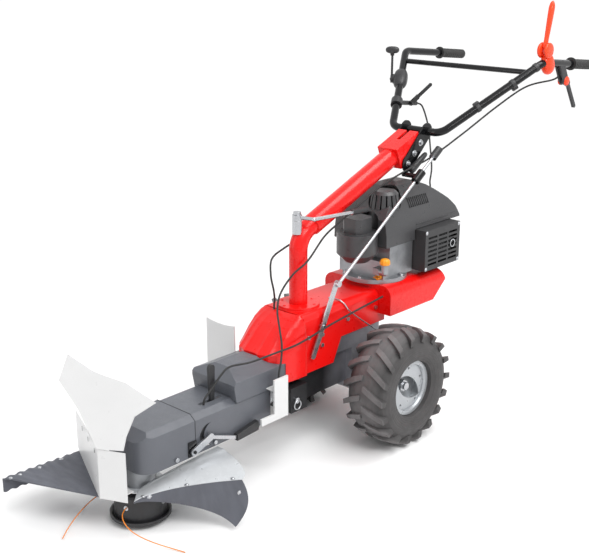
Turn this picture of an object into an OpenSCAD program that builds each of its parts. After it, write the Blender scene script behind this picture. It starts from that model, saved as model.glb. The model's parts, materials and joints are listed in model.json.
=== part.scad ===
// Two-wheeled walking tractor with a string trimmer unit carried in front.
// +X is the machine's left, -Y is forward and +Z is up, in millimetres.
// The origin lies on the ground, under the trimmer spindle.

/* [Layout] */
// Trimmer spindle to wheel axle
head_to_axle = 875; // [865:1:900]
// Steering column to wheel axle
column_to_axle = 228; // [224:1:232]
// Front plane of the casing body to wheel axle
casing_to_axle = 296; // [290:1:302]

/* [Wheels] */
// Tyre diameter over the lugs
tyre_d = 381; // [372:1:390]
// Tyre width
tyre_w = 152; // [140:1:158]
// Distance between the tyre centres
wheel_track = 440; // [430:1:460]
// Rim diameter over the flanges
rim_d = 178; // [170:1:186]
// Rim width over the flanges
rim_w = 106; // [96:1:112]
// Lugs on each side of a tyre
lug_count = 18; // [14:1:20]
// Lug height above the carcass
lug_h = 9; // [7:0.5:10]
// Axle diameter
axle_d = 25; // [22:1:30]

/* [Trimmer head] */
// Glide cup diameter
cup_d = 172; // [164:1:184]
// Line drum diameter
drum_d = 146; // [136:1:150]
// Top of the drum above the ground
drum_top = 94; // [90:1:96]
// Spindle diameter
spindle_d = 25; // [20:1:28]
// Trimmer line diameter
line_d = 3; // [2.4:0.1:4]
// Eyelets round the drum
eyelet_count = 4; // [2:1:6]

/* [Trimmer drive] */
// Height of the drive shaft
shaft_z = 215; // [208:1:222]
// Drive shaft diameter
shaft_d = 22; // [18:1:25]
// Outer diameter of the shaft tube
tube_d = 48; // [42:1:52]

/* [Covers] */
// Width of the front cover
cover_w = 180; // [174:1:188]
// Lower edge of the covers
cover_bottom = 170; // [166:1:174]
// Flat top of the front cover
cover_top = 289; // [284:1:296]
// Wall of the covers
cover_wall = 3; // [2:0.5:4]
// Top of the hump over the coupling
hump_top = 362; // [354:1:368]

/* [Guard] */
// Reach of the guard's fold ahead of the spindle
guard_reach = 135; // [130:1:145]
// Thickness of the guard sheet
guard_t = 3; // [2:0.5:4]
// Fold between the guard and its wing
guard_top = 256; // [246:1:266]
// Lean of the wing from upright, in degrees
wing_lean = 23; // [18:1:28]
// Thickness of the pressed deck
deck_t = 2; // [1.5:0.5:3]
// Thickness of the rubber skirts
skirt_t = 4; // [3:0.5:6]

/* [Casing] */
// Width of the casing body
casing_w = 176; // [170:1:182]
// Flat top of the casing body
casing_top = 462; // [456:1:468]
// Wall of the casing
casing_wall = 4; // [3:0.5:5]
// Reach of the rounded nose ahead of the casing body
nose_reach = 146; // [140:1:152]
// Width of the engine tray
tray_w = 280; // [270:1:290]
// Top of the engine tray
tray_top = 478; // [474:1:486]

/* [Steering] */
// Diameter of the upright column
column_d = 57; // [52:1:60]
// Diameter of the sloping arm
arm_d = 66; // [62:1:70]
// Slope of the arm, in degrees
arm_slope = 22; // [21:0.5:23]
// Handlebar tube diameter
bar_d = 26; // [24:1:28]
// Distance between the grips
grip_spread = 544; // [530:1:560]
// Height of the grips
grip_z = 1122; // [1110:1:1140]
// Grip length
grip_len = 142; // [130:1:150]
// Grip diameter
grip_d = 34; // [32:1:38]

/* [Hidden] */
$fn = 48;

// Colours
red = [0.86, 0.06, 0.07];
slate = [0.30, 0.32, 0.35];
sheet_white = [0.93, 0.93, 0.93];
sheet_grey = [0.74, 0.75, 0.77];
rubber_grey = [0.27, 0.28, 0.31];
jet = [0.08, 0.08, 0.09];
tyre_grey = [0.20, 0.19, 0.19];
steel = [0.70, 0.71, 0.73];
cast_grey = [0.62, 0.63, 0.64];
orange = [0.95, 0.27, 0.13];
amber = [0.96, 0.56, 0.06];

// Clearances and small common sizes
overrun = 1;
run_gap = 0.05;
slip_gap = 0.4;
air_gap = 1.5;

// Places of the main units
axle_y = head_to_axle;
axle_z = tyre_d / 2;
column_y = axle_y - column_to_axle;
casing_y = axle_y - casing_to_axle;
toe_y = casing_y - nose_reach;

// Glide cup and drum
cup_flat_share = 0.7;
cup_lip_z = 15;
cup_lip_h = 9;
cup_groove = 8;
drum_floor = 18;
drum_wall = 5;
drum_neck_wall = 10;
drum_neck_r = spindle_d / 2 + drum_neck_wall;
eyelet_z = 62;
eyelet_r = 7;
line_play = 0.5;
eyelet_bore_r = line_d / 2 + line_play;
eyelet_depth = 8;
eyelet_proud = 2;
eyelet_angle = -70;

// Spindle and bevel gears
spindle_flange_r = 30;
spindle_flange_h = 6;
bevel_r = 36;
pinion_r = 23;
bevel_face_share = 0.4;
bevel_back = 6;
bevel_gap = 0.8;

// Gear housing and bearings
housing_r = 47;
housing_wall = 7;
head_room = 16;
housing_bottom = drum_top + head_room;
pinion_room = 14;
housing_top = shaft_z + pinion_r + pinion_room;
housing_neck_r = 38;
housing_nose = 40;
bearing_h = 14;
bearing_wall = 12;
bearing_r = spindle_d / 2 + bearing_wall;

// Coupling between the trimmer unit and the gearbox
coupling_reach = 79;
coupling_y = casing_y - coupling_reach;
coupling_w = 216;
coupling_z = [176, 256];
coupling_len = 70;
socket_depth = 60;
tube_end = coupling_y;
tube_wall = 4;
tube_flange_r = 38;
tube_flange_t = 8;
pin_r = 5;
pin_back = 22;
pin_y = coupling_y + pin_back;
pin_z = 214;
pin_depth = 30;
pin_head_r = 9;
pin_head_h = 6;
ring_r = 14;
ring_wire = 2;

// Covers
cover_flat_share = 0.78;
cover_shoulder_share = 0.875;
cover_front_y = -53;
cover_corner_r = 46;
cover_front_slope = 28;
cover_lap = 8;
cover_screw_back = 73;
seam_y = 133;
crescent_r = 34;
crescent_shift = 16;
crescent_back = 52;
crescent_rise = 44;
crescent_y = seam_y + crescent_back;
crescent_z = cover_bottom + crescent_rise;
hump_front = 284;
hump_seam_z = 274;
hump_lap = 6;
hump_crown = 34;
hump_slant = 8;
hump_flat_share = 0.3;
slot_w = 13;
slot_x = 36;
slot_start = 62;
slot_edge = 4;
slot_front = seam_y + slot_start;
slot_back = hump_front - slot_edge;
rear_half = cover_w / 2 - cover_wall - slip_gap;
rear_top = cover_top - cover_wall - slip_gap;

// Deck and skirts
deck_ring_r = 70;
deck_front = [74, -78, 106];
deck_reach = [186, 262, 34];
deck_inner_front = [48, -48, housing_bottom];
deck_inner_reach = [40, 264, 56];
deck_crown = 12;
deck_spread = 1.5;
deck_lift = 0.8;
deck_root_lift = 0.6;
deck_rows = 9;
deck_cols = 7;
skirt_drop = [5, 115];
skirt_flare = 22;
skirt_curl = 56;
skirt_curl_start = 6;
skirt_deepen = 1.2;
flap_root = [10, -113, 106];
flap_back = [-258, 11, 122];
flap_tip = [-262, -268, 131];
flap_lip = 46;
flap_wave = 2.5;
flap_waves = 9;
flap_flat_share = 0.12;
flap_near_share = 0.2;
flap_rows = 4;
flap_cols = 37;

// Guard and wing
guard_left = [75, 34];
guard_right = [-268, 124];
guard_right_top = 242;
guard_foot_x = 40;
guard_foot_y = -52;
guard_foot_share = 0.125;
flange_w = 25;
wing_w = 310;
wing_h = 220;
wing_shares = [[0, 0], [0.25, 0.03], [0.26, 0.2], [0.31, 0.45], [0.49, 0.65], [0.19, 0.83], [-0.05, 0.89],
  [-0.14, 0.92], [-0.40, 1.08], [-0.45, 0.75], [-0.22, 0.43]];

// Shield in front of the right wheel
shield_x = [-228, -102];
shield_y = 470;
shield_z = [188, 412];
shield_sag = 7;
shield_arm = 90;
shield_arm_h = 60;

// Latch on the left of the covers
latch_out = 6;
latch_x = cover_w / 2 + latch_out;
latch_y = 118;
latch_z = 188;
latch_plate = [30, 44];
latch_pin_r = 5;
latch_arm_t = 6;
latch_arm_w = 11;
latch_knee = [62, 24];
latch_strap = [160, -12];
latch_grip_len = 84;
latch_grip_w = [20, 30];
latch_grip_t = 14;

// Engagement lever on top of the covers
engage_y = 244;
engage_pin_r = 4;
engage_z = rear_top - cover_wall - 3 * engage_pin_r;
engage_len = 112;
engage_w = [12, 22];
engage_t = 10;
lug_t = 4;

// Bracket on the left of the coupling
bracket_x = 118;
bracket_t = 6;
bracket_y = [412, 470];
bracket_z = [188, 316];
bracket_foot = 54;
bracket_foot_h = 22;

// Casing
nose_foot = 272;
nose_extra = 8;
nose_squareness = 3;
nose_shares = [[0, 1], [0.49, 1], [0.58, 0.86], [0.73, 0.66], [0.86, 0.44], [0.95, 0.22], [1, 0.07]];
nose_width_shares = [1, 1, 0.99, 0.97, 0.94, 0.86, 0.74];
nose_cols = 41;
flute_depth = 7;
flute_count = 9;
flute_spread_share = 0.5;
flute_roundness = 0.7;
casing_shoulder = 22;
casing_low = 273;
casing_notch_y = [715, 752];
casing_notch_z = 350;
casing_back = 968;
case_bolt_at = [[-278, 389], [-217, 349], [-216, 383], [-96, 402], [44, 405]];
collar_r = 66;
collar_h = 8;
tray_front = 932;
tray_shoulder = 34;
tray_low = 382;
tray_back_low = 1165;
tray_back_mid = 1232;
tray_back_top = 1216;
tray_back_z = 440;
tray_wall = 3;
bolt_r = 6.5;
bolt_h = 6;

// Gearbox
gearbox_drop = 40;
gearbox_setback = 12;
gearbox_tail = 70;
gearbox_top = casing_top - gearbox_drop;
gearbox_front = casing_y + gearbox_setback;
gearbox_back = axle_y + gearbox_tail;
gearbox_low = 296;
gearbox_wall = 9;
gearbox_foot_r = 66;
gearbox_neck_w = 120;
gearbox_boss_r = 34;

// Wheels
tyre_squareness = 2.5;
tyre_wall = 11;
tyre_points = 9;
tyre_belly_r = 130;
tyre_crown_r = tyre_d / 2 - lug_h;
tyre_tuck = 20;
tyre_bead = 3;
crown_drop = 12;
lug_in = 5;
lug_bar = 17;
lug_mid_share = 0.42;
lug_rise = [12, 34];
lug_root_r = 148;
lug_envelope_shares = [-1, -0.75, -0.4, 0.4, 0.75, 1];
rim_flange = 6;
rim_wall = 4;
rim_well = 12;
barrel_r = rim_d / 2 - rim_well;
bead_half = rim_w / 2 - rim_flange;
disc_t = 5;
disc_inset = 10;
hub_r = 30;
hub_inset = 30;
hub_tail = 20;
hub_back = -rim_w / 2 - hub_tail;
axle_gap = 19;
axle_case = wheel_track / 2 + hub_back - axle_gap;
lens_r = 92;
lens_half = 32;
lens_tilt = 144;
rim_hole_r = 4;
rim_hole_pcd_r = 64;
rim_hole_count = 5;
nut_r = 20;
nut_h = 14;
cap_r = 12;
cap_h = 10;

// Column, arm and steering lock
column_bend = 70;
column_wall = 4;
column_knee_z = 681;
sleeve_start = 62;
arm_end_y = 1196;
arm_block_len = 120;
arm_block_h = 72;
arm_slot_w = 14;
clamp_back = 5;
clamp_r = 15;
clamp_pin_r = 7;
clamp_z = [690, 732];
clamp_cap_h = 8;
swivel_hub_h = 18;
swivel_side = [50, 20, -2];
swivel_reach = [6, 168, -8];
swivel_rod_r = 6;
swivel_root_share = 0.7;
swivel_grip_r = 9;
swivel_grip_len = 72;

// Handlebar
stem_y = 1226;
stem_z = 932;
stem_half = 70;
bar_wall = 2.5;
plate_gap = 40;
plate_t = 5;
plate_r = 28;
plate_foot = [1128, 838];
arm_corner = 30;
bend_x = 284;
bend_y = 1530;
bend_z = 1150;
bar_bend = 46;
cross_r = 9;
cross_share = 0.86;
grip_y = 1726;
grip_toe = 3;
grip_drop = 7;
grip_flange = 5;
grip_ribs = 12;
grip_rib = 1.2;
grip_rib_share = 0.4;

// Hand controls on the left
safety_y = 1540;
safety_w = 38;
safety_h = 100;
safety_shares = [[-0.26, -0.40], [0.14, -0.48], [0.34, -0.28], [0.26, 0.40], [0.06, 0.66], [-0.20, 0.62]];
safety_floor = 40;
bend_room = 4;
safety_slot = 13.8;
safety_pin_r = 4;
safety_t = 13;
safety_pivot = [-4, 54];
safety_hub_r = 11;
safety_reach = [28, 136];
safety_tip = 8;
drive_y = 1686;
drive_drop = 58;
drive_reach = 34;
drive_ring_r = 15;
drive_hub_share = 0.8;
drive_pin_r = 5;
drive_t = 12;
drive_lever_t = 9;
drive_elbow = [26, -10];
drive_tip = [82, -94];
drive_blade_r = 7;

// Hand controls on the right
control_r = 20;
throttle_share = 0.61;
throttle_half = 18;
throttle_out = 28;
throttle_r = 17;
throttle_t = 8;
throttle_pin_r = 4;
throttle_len = 94;
throttle_knob_r = 13;
throttle_knob_t = 12;
clutch_share = 0.30;
clutch_half = 14;
clutch_reach = [0, 112, -14];
clutch_r = 8;
clutch_pivot_share = 0.6;
clutch_t = 6;
clutch_pin_r = 4;
clutch_hub_r = 9;
clutch_blade = [112, 54];
clutch_blade_r = 6;

// Gear linkage
gear_back = 7;
gear_y = column_y + gear_back;
gear_z = 413;
gear_out = 9;
gear_x = casing_w / 2 + gear_out;
gear_t = 5;
gear_w = 20;
gear_pin_r = 6;
gear_low = [-46, -84];
gear_high = [58, 124];
gear_eye_pin_r = 4;
gear_eye_r = 10;
gear_rod_r = 5;
gear_rod_x = gear_x + gear_t + slip_gap + gear_rod_r;
rod_foot = [gear_rod_x, gear_y + gear_high.x, gear_z + gear_high.y];
rod_tip = [gear_rod_x, 1176, 860];
rod_dir = (rod_tip - rod_foot) / norm(rod_tip - rod_foot);
knob_r = 13;
knob_len = 42;
guide_share = 0.84;
guide_at = rod_foot + (rod_tip - rod_foot) * guide_share;
guide_len = 44;
guide_r = 14;
guide_play = 3;
guide_bar_r = 8;

// Cables
cable_r = 3;
cable_sides = 8;
cable_steps = 4;
cable_under = 44;

// Engine
crank = [10, 1010];
base_r = 106;
base_t = 14;
block_x = [-85, 100];
block_y = [942, 1092];
block_step = 552;
block_back = 972;
block_top = 600;
fin_x = [-70, 58];
fin_z = 506;
fin_len = 130;
fin_t = 4;
fin_pitch = 12;
fin_count = 10;
filler_x = 118;
filler_y = 925;
filler_z = 526;
filler_r = 11;
filler_top = 552;
cap_stem_r = 6;
oil_cap_r = 15;
oil_cap_h = 9;
plug_x = 84;
plug_z = 502;
plug_depth = 12;
plug_head_h = 10;
plug_head_r = 10;
plug_stem_r = 6;
cowl_front = 942;
cowl_back = 1345;
cowl_top = 785;
cowl_w = 220;
cowl_wall = 4;
cowl_shares = [[0, 0], [0.37, 0], [0.37, 0.18], [1, 0.18], [1, 0.22], [0.95, 0.40], [0.87, 0.56], [0.76, 0.72],
  [0.66, 0.86], [0.55, 0.96], [0.47, 1], [0.39, 1], [0.27, 0.93], [0.17, 0.80], [0.07, 0.63], [0, 0.48]];
cowl_squareness = 2.2;
cowl_steps = 9;
dome_at = [40, 1016];
dome_r = 52;
dome_shoulder = 708;
dome_top = 768;
dome_step = 9;
vent_count = 16;
vent_w = 5;
cleaner = [26, 896];
bowl_r = 66;
bowl_bottom = 556;
bowl_top = 650;
bowl_round = 26;
box_half = 38;
box_cut = 44;
box_h = 50;
muffler_x = 150;
guard_y = [1096, 1290];
guard_z = [496, 633];
louvre_count = 7;
louvre_edge = 16;
louvre_pitch = 15;
louvre_cols = 3;
louvre_gap = 8;
outlet_r = 19;

// Straight part of a flat link against its eyes
link_waist_share = 0.94;

/* Helpers */
function unit(v) = v / norm(v);
function mix(a, b, t) = a + (b - a) * t;
function power(b, e) = sign(b) * pow(abs(b), e);
function turn_at(p, i) = acos(unit(p[i] - p[i - 1]) * unit(p[i + 1] - p[i]));

// Places children with their z axis pointing from a to b
module from_to(a, b) {
  d = b - a;
  translate(a)
    rotate([0, acos(d.z / norm(d)), atan2(d.y, d.x)])
      children();
}

module rod(a, b, r) {
  from_to(a, b)
    cylinder(h = norm(b - a), r = r);
}

// Places children with x, y and z along u, v and their cross product, at o
module in_plane(o, u, v) {
  w = cross(u, v);
  multmatrix([[u.x, v.x, w.x, o.x], [u.y, v.y, w.y, o.y], [u.z, v.z, w.z, o.z], [0, 0, 0, 1]])
    children();
}

module ring(r, bore) {
  difference() {
    circle(r = r);
    if (bore > 0)
      circle(r = bore);
  }
}

// A round bar or tube along points, with equal bends at the inner points
module bent_bar(p, r, bend, bore = 0, seam = 0) {
  last = len(p) - 1;
  cut = [for (i = [0 : last]) i == 0 || i == last ? 0 : bend * tan(turn_at(p, i) / 2)];
  for (i = [0 : last - 1]) {
    d = p[i + 1] - p[i];
    from_to(p[i] + unit(d) * (cut[i] + seam), p[i + 1])
      linear_extrude(norm(d) - cut[i] - cut[i + 1] - 2 * seam)
        ring(r, bore);
  }
  for (i = [1 : last - 1]) {
    a = unit(p[i] - p[i - 1]);
    n = unit(cross(a, p[i + 1] - p[i]));
    in_plane(p[i] - a * cut[i] + cross(n, a) * bend, cross(a, n), a)
      rotate_extrude(angle = turn_at(p, i))
        translate([bend, 0])
          ring(r, bore);
  }
}

// A closed skin between an outer and an inner grid of points
module skin(outer, inner) {
  rows = len(outer);
  cols = len(outer[0]);
  n = rows * cols;
  top = [for (i = [0 : rows - 2]) for (j = [0 : cols - 2])
    let (a = i * cols + j, b = a + cols) each [[a, b, b + 1], [a, b + 1, a + 1]]];
  under = [for (f = top) [n + f[2], n + f[1], n + f[0]]];
  ends = [for (j = [0 : cols - 2]) let (a = j, b = (rows - 1) * cols + j)
    each [[a, a + 1, n + a + 1], [a, n + a + 1, n + a], [b + 1, b, n + b], [b + 1, n + b, n + b + 1]]];
  sides = [for (i = [0 : rows - 2]) let (a = i * cols, b = a + cols, c = a + cols - 1, d = c + cols)
    each [[b, a, n + a], [b, n + a, n + b], [c, d, n + d], [c, n + d, n + c]]];
  polyhedron([each [for (r = outer) each r], each [for (r = inner) each r]],
    [each top, each under, each ends, each sides]);
}

// Directions square to each tangent, carried along without twist
function carried(t, i, u) = i == len(t) ? [] :
  let (w = unit(u - t[i] * (u * t[i]))) concat([w], carried(t, i + 1, w));

// A smooth curve through points, with steps between each pair
function curve(p, steps) = let (n = len(p) - 1) [
  for (i = [0 : n - 1]) for (k = [0 : steps - 1])
    let (t = k / steps, a = p[max(i - 1, 0)], b = p[i], c = p[i + 1], d = p[min(i + 2, n)])
    ((b * 2) + (c - a) * t + (a * 2 - b * 5 + c * 4 - d) * t * t + (b * 3 - a - c * 3 + d) * t * t * t) / 2,
  p[n]];

// A round tube swept along a route
module swept(route, r, sides) {
  n = len(route);
  t = [for (i = [0 : n - 1]) unit(route[min(i + 1, n - 1)] - route[max(i - 1, 0)])];
  side = abs(t[0].z) > abs(t[0].x) ? [1, 0, 0] : [0, 0, 1];
  u = carried(t, 0, side);
  pts = [for (i = [0 : n - 1]) for (k = [0 : sides - 1])
    let (a = k * 360 / sides) route[i] + (u[i] * cos(a) + cross(t[i], u[i]) * sin(a)) * r];
  wall = [for (i = [0 : n - 2]) for (k = [0 : sides - 1])
    let (a = i * sides + k, b = i * sides + (k + 1) % sides)
    each [[b, a, b + sides], [b + sides, a, a + sides]]];
  polyhedron(pts, [each wall, [for (k = [0 : sides - 1]) k],
    [for (k = [sides - 1 : -1 : 0]) (n - 1) * sides + k]]);
}

// A flat bar between two points of a plane, with a round eye at each end
module link_outline(p, q, r) {
  d = q - p;
  half = r * link_waist_share;
  translate(p)
    circle(r = r);
  translate(q)
    circle(r = r);
  translate(p)
    rotate(atan2(d.y, d.x))
      translate([0, -half])
        square([norm(d), 2 * half]);
}

// Extrudes an outline of y and z along x
module across(x0, width) {
  in_plane([x0, 0, 0], [0, 1, 0], [0, 0, 1])
    linear_extrude(width)
      children();
}

// Extrudes an outline of x and z along y
module lengthwise(y0, length) {
  in_plane([0, y0 + length, 0], [1, 0, 0], [0, 0, 1])
    linear_extrude(length)
      children();
}

/* Trimmer head */
module glide_cup() {
  r = cup_d / 2;
  neck = drum_d / 2 + overrun;
  color(jet)
    rotate_extrude()
      polygon([[0, 0], [r * cup_flat_share, 0], [r, cup_lip_z], [r, cup_lip_z + cup_lip_h],
        [r - cup_groove / 2, cup_lip_z + cup_lip_h], [neck, drum_floor], [0, drum_floor]]);
}

module line_drum() {
  r = drum_d / 2;
  color(jet)
    difference() {
      rotate_extrude()
        polygon([[spindle_d / 2, drum_floor], [r, drum_floor], [r, drum_top - drum_wall],
          [r - drum_wall, drum_top], [spindle_d / 2, drum_top],
          [spindle_d / 2, drum_top - drum_wall], [drum_neck_r, drum_top - drum_wall],
          [r - 2 * drum_wall, drum_top - 2 * drum_wall], [r - drum_wall, drum_floor + drum_wall],
          [drum_neck_r, drum_floor + drum_wall], [drum_neck_r, drum_top - 2 * drum_wall],
          [spindle_d / 2, drum_top - 2 * drum_wall]]);
      at_eyelets(drum_d / 2 - eyelet_depth)
        cylinder(h = eyelet_depth + overrun, r = eyelet_r);
    }
}

module at_eyelets(reach) {
  for (i = [0 : eyelet_count - 1])
    rotate(eyelet_angle + i * 360 / eyelet_count)
      translate([reach, 0, eyelet_z])
        rotate([0, 90, 0])
          children();
}

module eyelets() {
  color(steel)
    at_eyelets(drum_d / 2 - eyelet_depth)
      difference() {
        cylinder(h = eyelet_depth + eyelet_proud, r = eyelet_r);
        translate([0, 0, -overrun])
          cylinder(h = eyelet_depth + eyelet_proud + 2 * overrun, r = eyelet_bore_r);
      }
}

line_sides = 8;
line_left_route = [[23.9, -65.8, 62], [26.3, -72.4, 62], [30, -81, 61], [35.5, -89.5, 58.8],
  [42.5, -96.5, 56], [51, -101.8, 52.4], [61, -105.4, 47.8], [73, -107, 42.3], [86, -106.3, 36.4],
  [100, -103.4, 30.6], [116, -98, 25], [134, -90.6, 19.8], [153, -81.8, 15], [173, -71.6, 10.7],
  [193, -60.9, 7], [214, -50.4, 4], [234, -42, 2]];
line_right_route = [[-65.8, -23.9, 62], [-72.4, -26.3, 62], [-80, -30, 61.4], [-87.5, -35.6, 60.2],
  [-94, -43.2, 58.3], [-98.8, -53, 56], [-102, -65, 53], [-103, -79, 49.4], [-101.8, -95, 45.6],
  [-98.8, -112, 41.5], [-94, -130, 37], [-88, -149, 32.2], [-80.6, -168, 27.2], [-72.8, -186, 22],
  [-65, -203, 16.2], [-58.4, -216, 10.4], [-54, -226, 5]];

module trimmer_line_left() {
  color(amber)
    swept(line_left_route, line_d / 2, line_sides);
}

module trimmer_line_right() {
  color(amber)
    swept(line_right_route, line_d / 2, line_sides);
}

module spindle() {
  color(steel) {
    rod([0, 0, drum_floor], [0, 0, shaft_z - pinion_r], spindle_d / 2);
    translate([0, 0, drum_top])
      cylinder(h = spindle_flange_h, r = spindle_flange_r);
    translate([0, 0, shaft_z - pinion_r])
      bevel_blank(bevel_r, pinion_r);
  }
}

// Bevel gears drawn as their pitch cones, with the wide end at z = 0
module bevel_blank(r, reach) {
  rotate_extrude()
    polygon([[0, -bevel_back], [r, -bevel_back], [r, 0],
      [r * (1 - bevel_face_share), reach * bevel_face_share], [0, reach * bevel_face_share]]);
}

module drive_shaft() {
  color(steel) {
    translate([0, bevel_r + bevel_gap, shaft_z])
      rotate([90, 0, 0])
        bevel_blank(pinion_r, bevel_r);
    rod([0, bevel_r, shaft_z], [0, coupling_y + socket_depth - air_gap, shaft_z], shaft_d / 2);
  }
}

module gear_housing() {
  inner_r = housing_r - housing_wall;
  color(cast_grey)
    difference() {
      union() {
        translate([0, 0, housing_bottom])
          cylinder(h = housing_top - housing_bottom, r = housing_r);
        translate([0, 0, shaft_z])
          rotate([-90, 0, 0])
            cylinder(h = housing_r + housing_nose, r = housing_neck_r);
      }
      translate([0, 0, housing_bottom + bearing_h])
        cylinder(h = housing_top - housing_wall - housing_bottom - bearing_h, r = inner_r);
      translate([0, 0, housing_bottom - overrun])
        cylinder(h = bearing_h + 2 * overrun, r = bearing_r);
      translate([0, 0, shaft_z])
        rotate([-90, 0, 0])
          cylinder(h = housing_r + housing_nose + overrun, r = bearing_r);
    }
}

module bearing_ring(inner_r) {
  difference() {
    cylinder(h = bearing_h, r = bearing_r);
    translate([0, 0, -overrun])
      cylinder(h = bearing_h + 2 * overrun, r = inner_r + run_gap);
  }
}

module bearings() {
  color(steel) {
    translate([0, 0, housing_bottom])
      bearing_ring(spindle_d / 2);
    for (y = [housing_r + housing_nose / 2, housing_r + housing_nose])
      translate([0, y, shaft_z])
        rotate([90, 0, 0])
          bearing_ring(shaft_d / 2);
  }
}

module shaft_tube() {
  y0 = housing_r + housing_nose;
  color(cast_grey)
    difference() {
      union() {
        translate([0, y0, shaft_z])
          rotate([-90, 0, 0])
            cylinder(h = tube_end - y0, r = tube_d / 2);
        for (y = [y0, tube_end - tube_flange_t])
          translate([0, y, shaft_z])
            rotate([-90, 0, 0])
              cylinder(h = tube_flange_t, r = tube_flange_r);
      }
      translate([0, y0 - overrun, shaft_z])
        rotate([-90, 0, 0])
          cylinder(h = tube_end - y0 + 2 * overrun, r = tube_d / 2 - tube_wall);
    }
}

/* Covers */
// Cross-section of a cover, drawn in x and z
module cover_section(half, low, top) {
  shoulder = low + (top - low) * cover_shoulder_share;
  flat = half * cover_flat_share;
  polygon([[-half, low], [half, low], [half, shoulder], [flat, top], [-flat, top], [-half, shoulder]]);
}

// Plan of the front cover, with round front corners
module front_plan(half, front, back, r) {
  for (s = [-1, 1])
    translate([s * (half - r), front + r])
      circle(r = r);
  translate([-half, front + r])
    square([2 * half, back - front - r]);
  translate([r - half, front])
    square([2 * (half - r), back - front]);
}

module front_cover_body(inset, low) {
  half = cover_w / 2 - inset;
  top = cover_top - inset;
  front = cover_front_y + inset;
  intersection() {
    lengthwise(front, seam_y - front)
      cover_section(half, low, top);
    translate([0, 0, low])
      linear_extrude(top - low)
        front_plan(half, front, seam_y, cover_corner_r - inset);
    across(-half, 2 * half)
      polygon([[front, low], [seam_y, low], [seam_y, top], [front + cover_front_slope, top],
        [front, top - cover_front_slope]]);
  }
}

module front_cover() {
  color(slate)
    difference() {
      front_cover_body(0, cover_bottom);
      front_cover_body(cover_wall, cover_bottom - overrun);
      lengthwise(seam_y - cover_wall - overrun, cover_wall + 2 * overrun)
        cover_section(cover_w / 2 - cover_wall, cover_bottom - overrun, cover_top - cover_wall);
    }
}

// Plan of the casing nose, grown by a gap
function nose_plan(grow) = [for (k = [0 : nose_cols - 1]) let (a = 180 * k / (nose_cols - 1))
  [power(cos(a), 2 / nose_squareness) * (casing_w / 2 + nose_extra + grow),
    casing_y - power(sin(a), 2 / nose_squareness) * (nose_reach + grow)]];

module nose_cut() {
  translate([0, 0, nose_foot - overrun])
    linear_extrude(casing_top)
      polygon(nose_plan(slip_gap));
}

module rear_cover() {
  front = seam_y - cover_lap;
  back = toe_y - slip_gap;
  color(slate) {
    difference() {
      lengthwise(front, back - front)
        cover_section(rear_half, cover_bottom, rear_top);
      lengthwise(front - overrun, back - front + 2 * overrun)
        cover_section(rear_half - cover_wall, cover_bottom - overrun, rear_top - cover_wall);
      lengthwise(hump_front + hump_slant, back)
        translate([-cover_w, hump_seam_z + hump_lap])
          square([2 * cover_w, cover_top]);
      translate([slot_x - slot_w / 2, slot_front, rear_top - 2 * cover_wall])
        cube([slot_w, slot_back - slot_front, 3 * cover_wall]);
      across(rear_half - 2 * cover_wall, 3 * cover_wall)
        translate([crescent_y, crescent_z])
          difference() {
            circle(r = crescent_r);
            translate([crescent_shift, 0])
              circle(r = crescent_r);
          }
    }
    for (x = [slot_x - slot_w / 2 - lug_t, slot_x + slot_w / 2])
      translate([x, engage_y - 2 * engage_pin_r, engage_z - 2 * engage_pin_r])
        cube([lug_t, 4 * engage_pin_r, rear_top - cover_wall / 2 - engage_z + 2 * engage_pin_r]);
    rod([slot_x - slot_w / 2, engage_y, engage_z], [slot_x + slot_w / 2, engage_y, engage_z], engage_pin_r);
  }
}

module hump_body(inset, low) {
  half = cover_w / 2 - inset;
  top = hump_top - inset;
  back = casing_y - nose_reach / 3;
  flat = half * hump_flat_share;
  shoulder = mix(hump_seam_z, hump_top, 1 - hump_flat_share);
  intersection() {
    lengthwise(hump_front, back - hump_front)
      polygon([[-half, low], [half, low], [half, shoulder], [flat, top], [-flat, top], [-half, shoulder]]);
    across(-half, 2 * half)
      polygon([[hump_front + hump_slant + inset, low], [back, low], [back, top],
        [hump_front + hump_crown + inset, top], [hump_front + inset, top - hump_crown],
        [hump_front + inset, low + hump_slant + hump_crown]]);
  }
}

module hump_cover() {
  color(slate)
    difference() {
      hump_body(0, hump_seam_z);
      hump_body(cover_wall, hump_seam_z - overrun);
      nose_cut();
      lengthwise(hump_front, hump_slant + cover_wall)
        cover_section(rear_half + slip_gap, cover_bottom, rear_top + slip_gap);
    }
}

/* Deck and skirts */
function deck_edge(t) = deck_front
  + [deck_reach.x * pow(t, deck_spread), deck_reach.y * t, deck_reach.z * pow(t, deck_lift)];
function deck_root(t) = deck_inner_front
  + [deck_inner_reach.x * t, deck_inner_reach.y * t, deck_inner_reach.z * pow(t, deck_root_lift)];
function deck_point(i, j) = let (t = i / (deck_rows - 1), s = j / (deck_cols - 1))
  mix(deck_root(t), deck_edge(t), s) + [0, 0, deck_crown * t * sin(180 * s)];

module deck() {
  grid = [for (i = [0 : deck_rows - 1]) [for (j = [0 : deck_cols - 1]) deck_point(i, j)]];
  color(sheet_grey) {
    skin(grid, [for (r = grid) [for (p = r) p - [0, 0, deck_t]]]);
    translate([0, 0, housing_bottom - deck_t])
      difference() {
        cylinder(h = deck_t, r = deck_ring_r);
        translate([0, 0, -overrun])
          cylinder(h = deck_t + 2 * overrun, r = spindle_flange_r + air_gap);
      }
  }
}

function skirt_point(i, j) = let (t = i / (deck_rows - 1), s = j / (deck_cols - 1))
  deck_edge(t) + [skirt_flare * t * sin(90 * s), -skirt_curl * pow(t, skirt_curl_start) * pow(s, 2),
    -deck_t - slip_gap - (skirt_drop[0] + skirt_drop[1] * pow(t, skirt_deepen)) * s];

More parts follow.
